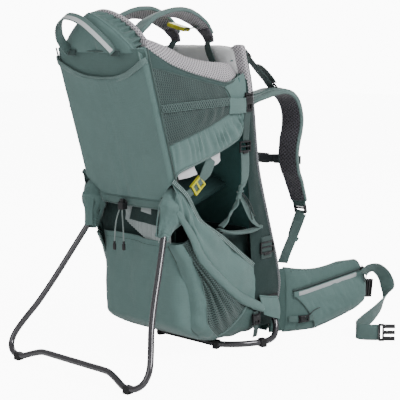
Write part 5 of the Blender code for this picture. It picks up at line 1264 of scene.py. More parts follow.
for side, s in SIDES:
    G1 = [(0.1880, 0.1040, 0.2600), (0.2160, 0.1120, 0.2050), (0.2330, 0.1150, 0.1500), (0.2400, 0.1155, 0.1100), (0.2453, 0.1150, 0.0764), (0.2700, 0.1130, 0.0540), (0.3061, 0.1080, 0.0380)]
    G2 = [(0.2050, 0.1280, 0.2650), (0.2400, 0.1400, 0.2080), (0.2580, 0.1430, 0.1520), (0.2650, 0.1430, 0.1150), (0.2700, 0.1410, 0.0850), (0.2900, 0.1370, 0.0620), (0.3160, 0.1290, 0.0440)]
    GM = [((a[0] + b[0]) / 2 - 0.004, (a[1] + b[1]) / 2 + 0.003, (a[2] + b[2]) / 2) for a, b in zip(G1, G2)]
    P = patch([side_pts(r, -s) for r in (G1, GM, G2)], 20, 90)
    P = P + normals(P) * (noisy(P, 30, 0.0030, 3.0) + noisy(P, 90, 0.0010, 8.0))[..., None]
    g = shell("bag_gusset_" + side, P, 0.0007, 0.0007, M["shell"], "carrier")
    tube("bag_gusset_seam_rear_" + side, side_pts(G1, -s), 0.0017, M["binding_dark"], "carrier", 8, 70)
    tube("bag_gusset_seam_front_" + side, side_pts(G2, -s), 0.0015, M["binding"], "carrier", 8, 70)
    # stretch net pocket on the bag's side
    R1 = [(0.2050, 0.1290, 0.2660), (0.2200, 0.1420, 0.2700), (0.2400, 0.1450, 0.2560)]
    RE = [(0.2160, 0.1350, 0.2740), (0.2475, 0.1420, 0.2200), (0.3080, 0.1450, 0.1640), (0.3600, 0.1450, 0.1260), (0.4000, 0.1430, 0.1040)]
    RL_ = [(0.2050, 0.1280, 0.2650), (0.2520, 0.1420, 0.1750), (0.2655, 0.1430, 0.1150), (0.2780, 0.1400, 0.0760), (0.3160, 0.1290, 0.0450)]
    RM = [(0.2110, 0.1340, 0.2700), (0.2560, 0.1500, 0.1900), (0.2950, 0.1560, 0.1380), (0.3250, 0.1530, 0.0980), (0.3560, 0.1380, 0.0640)]
    m_, n_ = 60, 110
    P = patch([side_pts(r, -s) for r in (RL_, RM, RE)], m_, n_)
    u = np.linspace(0, 1, n_)[None, :]
    v = np.linspace(0, 1, m_)[:, None]
    fold = 0.0046 * np.sin(2 * math.pi * (v * 4.2 + 0.25 * np.sin(u * 7))) * np.sin(math.pi * np.clip(u, 0, 1)) ** 0.6 * np.clip(v * 5, 0, 1) * np.clip((1 - v) * 6, 0, 1)
    P = P + normals(P) * (fold + noisy(P, 24, 0.0024, 2.0) * np.clip(v * 5, 0, 1))[..., None]
    npk = shell("bag_pocket_net_" + side, P, 0.0005, 0.0005, M["net"], None)
    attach(npk, "carrier")
    low = [RL_[-1], (0.3360, 0.1340, 0.0520), (0.3560, 0.1380, 0.0640), (0.3800, 0.1420, 0.0830), RE[-1]]
    tube("bag_pocket_seam_" + side, side_pts(low, -s), 0.0022, M["binding"], "carrier", 8, 40)
    # bag's side wall behind the net, up to the leg roll
    S1 = [(0.2050, 0.1240, 0.2640), (0.2600, 0.1270, 0.1650), (0.2720, 0.1250, 0.1000), (0.3200, 0.1180, 0.0440)]
    S2 = [(0.2300, 0.1260, 0.2620), (0.3000, 0.1290, 0.1760), (0.3700, 0.1290, 0.1140), (0.4200, 0.1260, 0.0620)]
    P = patch([side_pts(r, -s) for r in (S1, S2)], 12, 30)
    shell("bag_side_" + side, P, 0.0007, 0.0007, M["deep"], "carrier")
    # gusset under the pocket, towards the base tube
    P = patch([side_pts(r, -s) for r in ([(0.3160, 0.1270, 0.0440), (0.3500, 0.1360, 0.0590), (0.3780, 0.1400, 0.0790), (0.4020, 0.1410, 0.0980)],
                                         [(0.3700, 0.1180, 0.0320), (0.4000, 0.1280, 0.0420), (0.4250, 0.1360, 0.0560), (0.4400, 0.1390, 0.0700)],
                                         [(0.4200, 0.1060, 0.0290), (0.4350, 0.1160, 0.0330), (0.4500, 0.1230, 0.0400), (0.4600, 0.1300, 0.0480)])], 20, 24)
    P = P + normals(P) * noisy(P, 34, 0.0030, 3.0)[..., None]
    shell("bag_foot_gusset_" + side, P, 0.0007, 0.0007, M["dark"], "carrier")

# =============================================================== corner patch and lower buckles
for side, s in SIDES:
    C = [[(0.4402, 0.1440, 0.1180), (0.4700, 0.1465, 0.1110), (0.5020, 0.1440, 0.1050), (0.5120, 0.1330, 0.1030)],
         [(0.4440, 0.1475, 0.0980), (0.4740, 0.1510, 0.0900), (0.5060, 0.1500, 0.0830), (0.5190, 0.1370, 0.0800)],
         [(0.4560, 0.1455, 0.0700), (0.4800, 0.1500, 0.0600), (0.5050, 0.1490, 0.0520), (0.5170, 0.1380, 0.0500)]]
    P = patch([side_pts(r, -s) for r in C], 30, 40)
    P = P + normals(P) * noisy(P, 40, 0.0022, 7.0)[..., None]
    cp = shell("corner_patch_" + side, P, 0.0010, 0.0010, M["shell_plain"], "carrier")
    stitches("corner_patch_stitch_" + side, P[2] + normals(P)[2] * (0.0012 if (normals(P)[2, 5, 1] * s) > 0 else -0.0012), (0, s, 0), "carrier", M["thread_dark"])
    T = np.stack([(0, 0, -1.0), (1.0 * -s, 0, 0), (0, 1.0 * s, 0)], 1)
    ladder_lock("gusset_ladder_lock_" + side, (0.4660, s * 0.1440, 0.2230), T, 0.0400, 0.0270, "carrier", M["black"])
    strap("gusset_webbing_" + side, [(0.4655, s * 0.1415, 0.2480), (0.4660, s * 0.1428, 0.2230), (0.4665, s * 0.1415, 0.1980)], (1, 0, 0), 0.0360, 0.0020, M["web_dark"], "carrier", count=20)
    side_release("bag_buckle_" + side, (0.4270, s * 0.1465, 0.0660), T, 0.0260, 0.0260, "carrier", M["black"])
    strap("bag_webbing_" + side, [(0.4270, s * 0.1445, 0.0820), (0.4275, s * 0.1450, 0.0620), (0.4290, s * 0.1440, 0.0420), (0.4300, s * 0.1400, 0.0230)], (1, 0.1, 0), 0.0180, 0.0018, M["web_dark"], "carrier", count=30)

# =============================================================== seat and what is seen through the leg opening
m_, n_ = 40, 40
P = np.zeros((m_, n_, 3))
F1 = np.zeros((m_, n_))
for i, a in enumerate(np.linspace(0, 1, m_)):
    for j, b_ in enumerate(np.linspace(-1, 1, n_)):
        w = 0.080 - 0.030 * math.sin(math.pi * a)
        P[i, j] = (0.2060 + 0.190 * a, w * b_, 0.3400 - 0.030 * math.sin(math.pi * a) - 0.012 * b_ * b_ + 0.035 * a + 0.006)
        F1[i, j] = 0.0040 + 0.0080 * (1 - b_ ** 6) * math.sin(math.pi * min(max(a, 0.02), 0.98)) ** 0.3 + 0.0010 * noise.noise(Vector((a * 8, b_ * 5, 1)))
st = shell("seat_cushion", P, F1, 0.0050, [M["ink_uv"], M["ink_uv"], M["ink_uv"]], "carrier")
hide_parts("seat_pad")
for side, s in SIDES:
    # straps holding the seat up to the wings, through the yellow adjusters
    strap("seat_strap_low_" + side, [(0.2020, s * 0.1215, 0.3560), (0.2210, s * 0.1240, 0.3640), (0.2400, s * 0.1262, 0.3730), (0.2520, s * 0.1270, 0.3810)], (-0.60, 0, 0.80), 0.0170, 0.0018, M["web"], "carrier", count=30)
    strap("seat_strap_high_" + side, [(0.2500, s * 0.1272, 0.3800), (0.2640, s * 0.1295, 0.3960), (0.2790, s * 0.1310, 0.4130), (0.2900, s * 0.1300, 0.4300), (0.2960, s * 0.1280, 0.4450)], (-0.80, 0, 0.60), [0.0175, 0.0185, 0.0300, 0.0310, 0.0310], 0.0022, M["web"], "carrier", count=40)
    for k, q in enumerate((((0.1966, 0.4006), (0.2505, 0.4070), (0.1880, 0.4230), (0.2380, 0.4330)), ((0.2984, 0.4180), (0.3229, 0.4298), (0.2860, 0.4420), (0.3200, 0.4500)))):
        P = patch([[(q[0][0], s * 0.1275, q[0][1]), ((q[0][0] + q[1][0]) / 2, s * 0.1305, (q[0][1] + q[1][1]) / 2 - 0.001), (q[1][0], s * 0.1290, q[1][1])],
                   [(q[2][0], s * 0.1285, q[2][1]), ((q[2][0] + q[3][0]) / 2, s * 0.1320, (q[2][1] + q[3][1]) / 2), (q[3][0], s * 0.1295, q[3][1])]], 16, 26)
        P = P + normals(P) * noisy(P, 60, 0.0022, 2.0 + k)[..., None]
        shell("seat_label_%s_%d" % (side, k), P, 0.0004, 0.0004, M["label"], "carrier")

# =============================================================== shoulder harness
STRAP_LINE = [(0.4300, 0.0640, 0.5240), (0.4420, 0.0720, 0.5350), (0.4560, 0.0800, 0.5460), (0.4850, 0.0850, 0.5560), (0.5220, 0.0890, 0.5640), (0.5570, 0.0920, 0.5680),
              (0.5880, 0.0930, 0.5580), (0.6090, 0.0935, 0.5360), (0.6190, 0.0935, 0.5050), (0.6170, 0.0935, 0.4750),
              (0.6100, 0.0930, 0.4500), (0.6060, 0.0930, 0.4120), (0.6140, 0.0930, 0.3800), (0.6270, 0.0930, 0.3550),
              (0.6400, 0.0930, 0.3250), (0.6480, 0.0930, 0.3050)]


def pad_section(w, t, lip=0.0016):
    """Cross-section of a padded strap: outer cloth, two bound edges, inner mesh.  First the outer face."""
    a, b = w / 2, t / 2
    out = [(a * f, b * (1 - 0.30 * abs(f) ** 4)) for f in (0.90, 0.6, 0.3, 0.0, -0.3, -0.6, -0.90)]
    left = [(-a * 0.985, b * 0.62 + lip), (-a - lip * 0.6, b * 0.30), (-a - lip * 0.6, -b * 0.30), (-a * 0.985, -b * 0.62 - lip)]
    inn = [(a * f, -b * (1 - 0.30 * abs(f) ** 4)) for f in (-0.90, -0.6, -0.3, 0.0, 0.3, 0.6, 0.90)]
    right = [(a * 0.985, -b * 0.62 - lip), (a + lip * 0.6, -b * 0.30), (a + lip * 0.6, b * 0.30), (a * 0.985, b * 0.62 + lip)]
    return out + left + inn + right, [0] * 6 + [2] * 5 + [1] * 6 + [2] * 5


def padded_strap(name, pts, wide, width, thick, mats, body, count=120, up=None, seed=0.0, lip=0.0016):
    p = curve(pts, count)
    t, w, n = frames(p, wide)
    if up is not None and (n[len(n) // 2] @ np.array(up, float)) < 0:
        n, w = -n, -w
    rings, kinds = [], None
    for i in range(count):
        k = i / (count - 1)
        ww = float(np.interp(k, np.linspace(0, 1, len(width)), width))
        th = float(np.interp(k, np.linspace(0, 1, len(thick)), thick))
        sec, kinds = pad_section(ww, th, lip)
        ring = []
        for x, y in sec:
            q = p[i] + w[i] * x + n[i] * y
            ring.append(q + n[i] * (0.0009 * noise.noise(Vector(q * 45) + Vector((seed, 0, 0)))))
        rings.append(ring)
    return loft(name, rings, mats, body, kinds=kinds), p, w, n


for side, s in SIDES:
    pts = [(x, s * y, z) for x, y, z in STRAP_LINE]
    st, p, w, n = padded_strap("shoulder_strap_%s_pad" % side, pts, (0, 1, 0), [0.0600, 0.0590, 0.0580, 0.0580, 0.0570, 0.0560, 0.0540, 0.0490, 0.0440],
                               [0.0110, 0.0125, 0.0135, 0.0140, 0.0140, 0.0135, 0.0125, 0.0110, 0.0090], [M["shell"], M["dark_mesh"], M["binding"]], "shoulder_harness",
                               count=150, up=(1, 0, 0.4), seed=3 * s)
    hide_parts("shoulder_strap_" + side)
    # webbing sewn down the outer face and a row of stitches at each edge
    tape = p + n * 0.0074
    strap("strap_tape_" + side, [tuple(q) for q in tape[22:-6:6]], (0, 1, 0), 0.0200, 0.0018, M["web"], "shoulder_harness", count=110)
    for k, o in (("a", 0.0225), ("b", -0.0225)):
        stitches("strap_stitch_%s_%s" % (side, k), (p + w * o + n * 0.0062)[4:-14], n[4:-14], "shoulder_harness", M["thread_dark"])
    # load lifter's ladder lock on the strap and slider of the sternum strap
    T = basis((0.70, 0, -0.55), (0.55, 0, 0.70))
    ladder_lock("load_lifter_lock_" + side, (0.5440, s * 0.0885, 0.5810), T, 0.0215, 0.0240, "shoulder_harness", M["black"])
    blocks("sternum_slider_" + side, [((0.6165, s * 0.0905, 0.4050), (0.0030, 0.0080, 0.0250), None, 0.0012)], M["black"], "sternum")
    # flap of mesh sewn over the lower end, towards the lock
    fl = [(0.6455, s * 0.0930, 0.3120), (0.6475, s * 0.0930, 0.3000), (0.6500, s * 0.0930, 0.2920)]
    strap("strap_end_" + side, fl, (0, 1, 0), [0.0440, 0.0400, 0.0300], 0.0060, M["dark"], "shoulder_harness", count=16)
    # lower webbing, from the pad's lock to the belt
    line = [(0.6565, s * 0.0945, 0.2700), (0.6360, s * 0.0990, 0.2480), (0.6055, s * 0.1060, 0.2180), (0.5750, s * 0.1130, 0.1900), (0.5560, s * 0.1180, 0.1700)]
    lw = strap("strap_webbing_%s_tape" % side, line, (0.15, 1.0 * s, -0.1), 0.0250, 0.0018, M["web"], None, count=80)
    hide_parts("strap_webbing_" + side)
    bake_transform(lw)
    tl = strap("strap_tail_" + side, [(0.6530, s * 0.0950, 0.2800), (0.6450, s * 0.0930, 0.2620), (0.6330, s * 0.0920, 0.2380), (0.6260, s * 0.0925, 0.2230), (0.6240, s * 0.0935, 0.2150), (0.6260, s * 0.0955, 0.2140), (0.6290, s * 0.0965, 0.2200)],
               (0.15, 1.0 * s, -0.1), 0.0245, 0.0018, M["web"], "shoulder_harness", count=60)
    # load lifter
    up_ = [(0.4040, s * 0.0900, 0.6660), (0.4200, s * 0.0898, 0.6690), (0.4350, s * 0.0895, 0.6630), (0.4600, s * 0.0890, 0.6450), (0.5000, s * 0.0885, 0.6130), (0.5320, s * 0.0880, 0.5880), (0.5460, s * 0.0880, 0.5770)]
    ll = strap("load_lifter_%s_tape" % side, up_, (0, 1, 0), 0.0200, 0.0018, M["web_dark"], None, count=60)
    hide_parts("load_lifter_" + side)
    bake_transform(ll)
    l2 = strap("load_lifter_tail_" + side, [(0.5500, s * 0.0900, 0.5870), (0.5350, s * 0.0905, 0.6010), (0.5150, s * 0.0905, 0.6160), (0.4980, s * 0.0905, 0.6260), (0.4860, s * 0.0900, 0.6300)],
               (0, 1, 0), 0.0195, 0.0016, M["web_dark"], "shoulder_harness", count=50)
    T = basis((0.82, 0, -0.57), (0.57, 0, 0.82))
    side_release("load_lifter_buckle_" + side, (0.4480, s * 0.0893, 0.6555), T, 0.0220, 0.0300, None or "carrier", M["black"])
# yoke
rings = []
YK = curve([(0.4440, 0, 0.4520, 0.112), (0.4395, 0, 0.4850, 0.190), (0.4380, 0, 0.5150, 0.222), (0.4400, 0, 0.5400, 0.228)], 40)
sec = None
for i, (x, y, z, w) in enumerate(YK):
    ring = []
    for k in range(60):
        a = 2 * math.pi * k / 60
        cx, cy = math.cos(a), math.sin(a)
        yy = w / 2 * math.copysign(abs(cx) ** 0.75, cx)
        xx = 0.0065 * math.copysign(abs(cy) ** 0.6, cy)
        ring.append((x + 0.0020 + xx, yy, z))
    rings.append(ring)
yk = loft("harness_yoke_pad", rings, M["dark_mesh"], "shoulder_harness")
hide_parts("harness_yoke")
# sternum strap
STN = [(0.6200, -0.1180, 0.4050), (0.6200, -0.0900, 0.4050), (0.6195, -0.0550, 0.4050), (0.6150, -0.0250, 0.4030), (0.6145, 0.0, 0.4025)]
STN = STN + [(x, -y, z) for x, y, z in STN[:-1][::-1]]
sn = strap("sternum_tape", STN, (0, 0, 1), 0.0200, 0.0018, M["web_slate"], "sternum", count=90)
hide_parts("sternum_strap")
strap("sternum_fold", [(0.6180, -0.0900, 0.4040), (0.6175, -0.0550, 0.4035), (0.6155, -0.0420, 0.4030)], (0, 0, 1), 0.0215, 0.0050, M["web_slate"], "sternum", count=20)

# =============================================================== front pad and lumbar pad
m_, n_ = 50, 90
P = np.zeros((m_, n_, 3))
F1, F2 = np.zeros((m_, n_)), np.zeros((m_, n_))
for i, v in enumerate(np.linspace(0, 1, m_)):
    for j, t in enumerate(np.linspace(-1, 1, n_)):
        z = 0.6065 + 0.0660 * v
        P[i, j] = (back_x(z) - 0.0100, 0.1195 * t, z - 0.010 * abs(t) ** 6 * v)
        e = max(0.0, (1 - abs(t) ** 8) * (1 - abs(2 * v - 1) ** 6)) ** 0.5
        F1[i, j] = 0.0025 + 0.0085 * e + 0.0010 * noise.noise(Vector((t * 6, v * 3, 0)))
        F2[i, j] = 0.0025 + 0.0075 * e + 0.0014 * noise.noise(Vector((t * 6, v * 3, 9)))
fp = shell("front_pad_cushion", P, F1, F2, [M["pad_grey"], M["pad_grey"], M["pale_mesh"]], "carrier")
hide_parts("front_pad")
strap("front_pad_seam", [(back_x(0.640) - 0.0192, y, 0.6400 + 0.002 * math.sin(y * 30)) for y in np.linspace(-0.112, 0.112, 16)], (0.1, 0, 1), 0.0040, 0.0016, M["thread"], "carrier", count=60)
m_, n_ = 50, 60
P = np.zeros((m_, n_, 3))
F1 = np.zeros((m_, n_))
for i, v in enumerate(np.linspace(0, 1, m_)):
    for j, t in enumerate(np.linspace(-1, 1, n_)):
        z = 0.0110 + 0.1530 * v
        hw = 0.1100 - 0.012 * abs(2 * v - 1) ** 4
        P[i, j] = (back_x(z) + 0.0060, -hw * t, z)
        e = max(0.0, (1 - abs(t) ** 6) * (1 - abs(2 * v - 1) ** 6)) ** 0.6
        F1[i, j] = 0.0020 + 0.0175 * e * (1 - 0.55 * math.exp(-(t / 0.12) ** 2)) + 0.0008 * noise.noise(Vector((t * 6, v * 5, 0)))
lp = shell("lumbar_cushion", P, F1, 0.0030, [M["dark_mesh"], M["deep"], M["binding_dark"]], "carrier")
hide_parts("lumbar_pad")

# =============================================================== hip belt
def fin_point(u, v, out):
    x = 0.5520 + 0.2180 * u
    y = 0.1200 + 0.0960 * u - 0.0180 * u * u + 0.006 * math.sin(math.pi * u)
    lo = 0.0085 + (0.0420 - 0.0085) * max(0.0, u - 0.35) / 0.65 * (1 + 0.25 * u)
    hi = 0.1580 - 0.010 * math.sin(math.pi * min(u * 1.6, 1.0))
    if u > 0.85:
        k = (u - 0.85) / 0.15
        hi -= 0.050 * k * k
        lo += 0.008 * k * k
    n = np.array([-0.36, 0.93, 0.0]) / math.hypot(0.36, 0.93)
    return np.array([x, y, lo + (hi - lo) * v]) + n * out


def fin_outer(u, v):
    p = fin_point(u, v, 0.0)
    straight = 0.1521 + 0.0429 * (u - 0.30) / 0.63
    k = min(u / 0.20, 1.0)
    y = (p[1] + 0.006) * (1 - k) + straight * k + 0.0110 * (1 - 0.5 * abs(2 * v - 1) ** 4) * (0.5 + 0.5 * k)
    return np.array([p[0], y, p[2]])


def zip_at(u, d=0.0, out=0.0):
    """Point on the fin's outer face at the zip's height, d below it."""
    z = 0.1080 + 0.0300 * (u - 0.15) / 0.75 - d
    lo, hi = fin_point(u, 0, 0)[2], fin_point(u, 1, 0)[2]
    v = (z - lo) / (hi - lo)
    p = fin_outer(u, v)
    return (p[0] - 0.23 * out, p[1] + 0.97 * out, p[2])


for side, s in SIDES:
    body = "hip_belt_" + side
    U, Vn = 90, 44
    rings, kinds = [], None
    for i in range(U):
        u = i / (U - 1)
        uu = u
        tip = min(1.0, (1 - u) / 0.05)
        root = min(1.0, u / 0.02 + 0.5)
        ring = []
        for j in range(Vn):
            v = j / (Vn - 1)
            vv = 0.5 - 0.5 * math.cos(math.pi * v)
            a, b = fin_outer(uu, vv), fin_point(uu, vv, -0.0080)
            mid = (a + b) / 2
            e = max(0.0, 1 - abs(2 * vv - 1) ** 5) ** 0.45
            e = 0.16 + 0.84 * e
            e *= (0.35 + 0.65 * tip ** 0.5)
            q = mid + (a - mid) * e
            wr = 0.0016 * noise.noise(Vector((u * 9 + 4 * v, v * 3 - 4 * u, 2 + s))) + 0.0007 * noise.noise(Vector((u * 30, v * 9, 5)))
            q = q + np.array([-0.23, 0.97, 0]) * wr * e
            ring.append((q[0], s * q[1], q[2]))
        for j in range(1, Vn - 1):
            v = 1 - j / (Vn - 1)
            vv = 0.5 - 0.5 * math.cos(math.pi * v)
            a, b = fin_outer(uu, vv), fin_point(uu, vv, -0.0080)
            mid = (a + b) / 2
            e = max(0.0, 1 - abs(2 * vv - 1) ** 5) ** 0.45
            e = (0.16 + 0.84 * e) * (0.35 + 0.65 * tip ** 0.5)
            q = mid + (b - mid) * e
            ring.append((q[0], s * q[1], q[2]))
        rings.append(ring)
    kinds = [0] * (Vn - 1) + [1] * (Vn - 1)
    # the fin's outer face takes the shell cloth made darker: painted shade
    fb_ = loft("hip_fin_%s_pad" % side, rings, [M["shell_painted_shade"], M["dark_mesh"]], body, kinds=kinds)
    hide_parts("hip_fin_" + side)
    # bound edge all round
    eds = [(q[0], s * q[1], q[2]) for q in ((fin_outer(u, 1) + fin_point(u, 1, -0.008)) / 2 + np.array([0, 0, 0.0004]) for u in np.linspace(0.0, 1.0, 40))]
    ede = [(q[0], s * q[1], q[2]) for q in ((fin_outer(1.0, v) + fin_point(1.0, v, -0.008)) / 2 + np.array([0.0006, 0, 0]) for v in np.linspace(0.9, 0.1, 10))]
    edl = [(q[0], s * q[1], q[2]) for q in ((fin_outer(u, 0) + fin_point(u, 0, -0.008)) / 2 - np.array([0, 0, 0.0004]) for u in np.linspace(1.0, 0.0, 40))]
    tube("hip_fin_edge_" + side, eds + ede + edl, 0.0032, M["binding"], body, 10, 260)
    # pocket: lower panel under the zip
    m_, n_ = 44, 80
    P = np.zeros((m_, n_, 3))
    O = np.zeros((m_, n_))
    for i, a in enumerate(np.linspace(0, 1, m_)):
        for j, b_ in enumerate(np.linspace(0, 1, n_)):
            ul = 0.335 - 0.285 * a ** 1.25
            u = ul + (0.975 - ul) * b_
            zz = 0.1080 + 0.0300 * (u - 0.15) / 0.75 - 0.0065
            lo, hi = fin_point(u, 0, 0)[2], fin_point(u, 1, 0)[2]
            zlo = lo + 0.0035
            z = zlo + (zz - zlo) * a
            v = (z - lo) / (hi - lo)
            q = fin_outer(u, v)
            e = max(0.0, 1 - abs(2 * vv - 1) ** 5)
            edge = max(0.0, 1 - abs(2 * v - 1) ** 5) ** 0.45
            mid = (q + fin_point(u, v, -0.008)) / 2
            q = mid + (q - mid) * (0.16 + 0.84 * edge) * (0.35 + 0.65 * min(1.0, (1 - u) / 0.05) ** 0.5)
            bulge = 0.0018 + 0.0060 * (math.sin(math.pi * b_) ** 0.7) * math.sin(math.pi * min(1, a * 0.98 + 0.01)) ** 0.8
            wr = 0.0024 * noise.noise(Vector((u * 8 + 5 * v, v * 3 - 5 * u, 4 + s))) * math.sin(math.pi * b_) + 0.0010 * noise.noise(Vector((u * 26 + 8 * v, v * 8, 1)))
            P[i, j] = (q[0] - 0.23 * (bulge + wr), s * (q[1] + 0.97 * (bulge + wr)), q[2])
    pk = shell("hip_pocket_" + side, P, 0.0008, 0.0008, M["shell"], body)
    left_edge = [tuple(P[i, 0]) for i in range(0, m_, 4)]
    tube("hip_pocket_seam_" + side, left_edge, 0.0018, M["binding_dark"], body, 8, 50)
    # flap over the zip with its reflective strip
    us_ = np.linspace(0.065, 0.830, 50)
    ref = [zip_at(u, 0.0085, 0.0052) for u in us_]
    strap("hip_reflective_" + side, [(x, s * y, z) for x, y, z in ref[3:]], (0.04, 0.25 * s, 1.0), 0.0105, 0.0012, M["reflect"], body, count=80)
    flap = [zip_at(u, 0.0090, 0.0038) for u in us_]
    strap("hip_pocket_flap_" + side, [(x, s * y, z) for x, y, z in flap], (0.04, 0.25 * s, 1.0), 0.0150, 0.0022, M["shell"], body, count=80)
    coil = [zip_at(u, 0.0, 0.0016) for u in np.linspace(0.06, 0.955, 60)]
    coil = [(x, s * y, z) for x, y, z in coil]
    strap("hip_zip_tape_" + side, coil, (0.04, 0.25 * s, 1.0), 0.0110, 0.0014, M["binding_dark"], body, count=80)
    stitches("hip_zip_coil_" + side, curve(coil, 90), (-0.23, 0.97 * s, 0), body, M["black"], pitch=0.0021, size=(0.0012, 0.0034, 0.0016))
    # seam where the belt leaves the lumbar pad, and the little strap that tensions it
    sm = [(fin_outer(0.0, v) * np.array([1, 1, 1]) + np.array([-0.001, 0.0005, 0])) for v in np.linspace(0.04, 0.96, 10)]
    tube("hip_root_seam_" + side, [(q[0] + 0.016, s * (q[1] + 0.0045), q[2]) for q in sm], 0.0014, M["binding_dark"], body, 8, 40)
    T = basis((0.93, s * 0.33, -0.05), (0.30 * 0, 0, 1))
    c = fin_outer(0.165, 0.20)
    T2 = np.stack([unit(np.array([0.94, 0.33 * s, 0.0])), np.array([0, 0, 1.0]), unit(np.array([-0.33, 0.94 * s, 0.0]))], 1)
    side_release("hip_root_buckle_" + side, (c[0], s * (c[1] + 0.0050), c[2]), T2, 0.0170, 0.0300, body, M["black"])
    q = [fin_outer(u, 0.20) + np.array([-0.001, 0.0030, 0]) for u in (0.02, 0.10, 0.165, 0.24, 0.30)]
    strap("hip_root_webbing_" + side, [(a[0], s * a[1], a[2]) for a in q], (0, 0, 1), 0.0145, 0.0016, M["web"], body, count=30)
    loop = [fin_outer(0.22, 0.24) + np.array([0, 0.0055, 0]), fin_outer(0.27, 0.33) + np.array([0, 0.0085, 0]), fin_outer(0.36, 0.36) + np.array([0, 0.0060, 0])]
    tube("hip_elastic_" + side, [(a[0], s * a[1], a[2]) for a in loop], 0.0012, M["cord_dark"], body, 8, 24)
    # loop of cord through the zip's pull
    u0 = 0.92
    c = zip_at(u0, 0.004, 0.0085)
    ring = []
    for a in np.linspace(0, 2 * math.pi, 40):
        ring.append((c[0] + 0.0055 * math.sin(a) + 0.004, s * (c[1] + 0.0020), c[2] - 0.0140 + 0.0135 * math.cos(a)))
    if s < 0:
        pz = tube("zip_pull_loop", ring, 0.0013, M["cord_dark"], "pocket_zip", 8)
    else:
        pz = tube("zip_pull_loop_left", ring, 0.0013, M["cord_dark"], body, 8)

# =============================================================== the child's shoulder harness
CHEST_R = [(0.1380, 0.050, 0.6850), (0.1480, 0.050, 0.6950), (0.1650, 0.050, 0.7080), (0.1940, 0.050, 0.7280), (0.2470, 0.050, 0.7420), (0.2980, 0.050, 0.7390), (0.3460, 0.050, 0.7180), (0.3700, 0.050, 0.6970)]
for side, s in SIDES:
    pts = [(x, s * y, z) for x, y, z in CHEST_R]
    cp, p, w, n = padded_strap("chest_pad_%s_strap" % side, pts, (0, 1, -0.50 if s > 0 else -0.28), [0.0420, 0.0440, 0.0450, 0.0450, 0.0440, 0.0420, 0.0380, 0.0300],
                               [0.0100, 0.0120, 0.0125, 0.0125, 0.0120, 0.0115, 0.0100, 0.0080], [M["shell"], M["pale_mesh"], M["binding"]], "chest_harness", count=110, up=(0, 0, 1), seed=7 * s, lip=0.0010)
    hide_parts("chest_pad_" + side)
    # dark mesh tongue with the webbing that leads down to the buckle and the crotch strap
    tg = strap("chest_tongue_" + side, [(0.3540, s * 0.050, 0.7080), (0.3700, s * 0.0500, 0.6930), (0.3760, s * 0.0500, 0.6800)], (0, 1, 0), [0.0360, 0.0320, 0.0240], 0.0090, M["dark_mesh_o"], "chest_harness", count=20)
    ws = strap("chest_webbing_" + side, [(0.3740, s * 0.0500, 0.6860), (0.3660, s * 0.0530, 0.6740), (0.3620, s * 0.0600, 0.6600), (0.3600, s * 0.0700, 0.6450), (0.3590, s * 0.0760, 0.6360)], (0, 1, 0.3 * s), 0.0170, 0.0018, M["web_dark"], "chest_harness", count=30)
    cw = strap("chest_buckle_webbing_" + side, [(0.3320, s * 0.0200, 0.7120 + 0.005 * s), (0.3350, s * 0.0340, 0.7130 + 0.004 * s), (0.3400, s * 0.0500, 0.7130)], (1, 0, 0.1), 0.0180, 0.0018, M["web_dark"], "chest_harness", count=24)
T = np.stack([(0, 0.970, 0.242), (1.0, 0, 0), (0, 0.242, -0.970)], 1)
T[:, 2] = np.cross(T[:, 0], T[:, 1])
side_release("chest_buckle_detail", (0.3310, 0.0, 0.7120), T, 0.0250, 0.0500, "chest_harness", M["yellow"])

# =============================================================== where the belt leaves the back: a cuff
for side, s in SIDES:
    rings = []
    for i, u in enumerate(np.linspace(-0.16, 0.05, 24)):
        ring = []
        f = 1 - 0.30 * (1 - (u + 0.16) / 0.21)
        V1 = np.linspace(0.0, 1.0, 22)
        for v in V1:
            vv = 0.5 - 0.5 * math.cos(math.pi * v)
            a, b = fin_outer(max(u, 0.0), vv), fin_point(max(u, 0.0), vv, -0.0080)
            mid = (a + b) / 2
            e = 0.14 + 0.84 * max(0.0, 1 - abs(2 * vv - 1) ** 5) ** 0.45
            q = mid + (a - mid) * e * f * 0.93
            q = q + np.array([0.2180 * min(u, 0.0), 0.30 * 0.2180 * min(u, 0.0), 0.0])
            ring.append((q[0], s * (q[1] + 0.0010 * noise.noise(Vector((u * 40, v * 6, s)))), q[2]))
        for v in V1[::-1][1:-1]:
            vv = 0.5 - 0.5 * math.cos(math.pi * v)
            a, b = fin_outer(max(u, 0.0), vv), fin_point(max(u, 0.0), vv, -0.0080)
            mid = (a + b) / 2
            e = 0.14 + 0.84 * max(0.0, 1 - abs(2 * vv - 1) ** 5) ** 0.45
            q = mid + (b - mid) * e * f * 0.93
            q = q + np.array([0.2180 * min(u, 0.0), 0.30 * 0.2180 * min(u, 0.0), 0.0])
            ring.append((q[0], s * q[1], q[2]))
        rings.append(ring)
    cu = loft("hip_belt_cuff_" + side, rings, M["dark"], None)
    A, B = fin_point(0.0, 0.5, 0), fin_point(0.0, 0.5, 0)
    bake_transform(cu)

# painted shade: a dark sheet behind the gap under the rear panel, for the shade in it
P = patch([[(0.2150, 0.1250, 0.3450), (0.2180, 0.0600, 0.3450), (0.2180, -0.0300, 0.3450), (0.2160, -0.1000, 0.3450)],
           [(0.2150, 0.1220, 0.2600), (0.2180, 0.0600, 0.2560), (0.2180, -0.0300, 0.2560), (0.2160, -0.1000, 0.2560)]], 20, 50)
shell("gap_painted_shade", P, 0.0006, 0.0006, M["gusset"], "carrier")

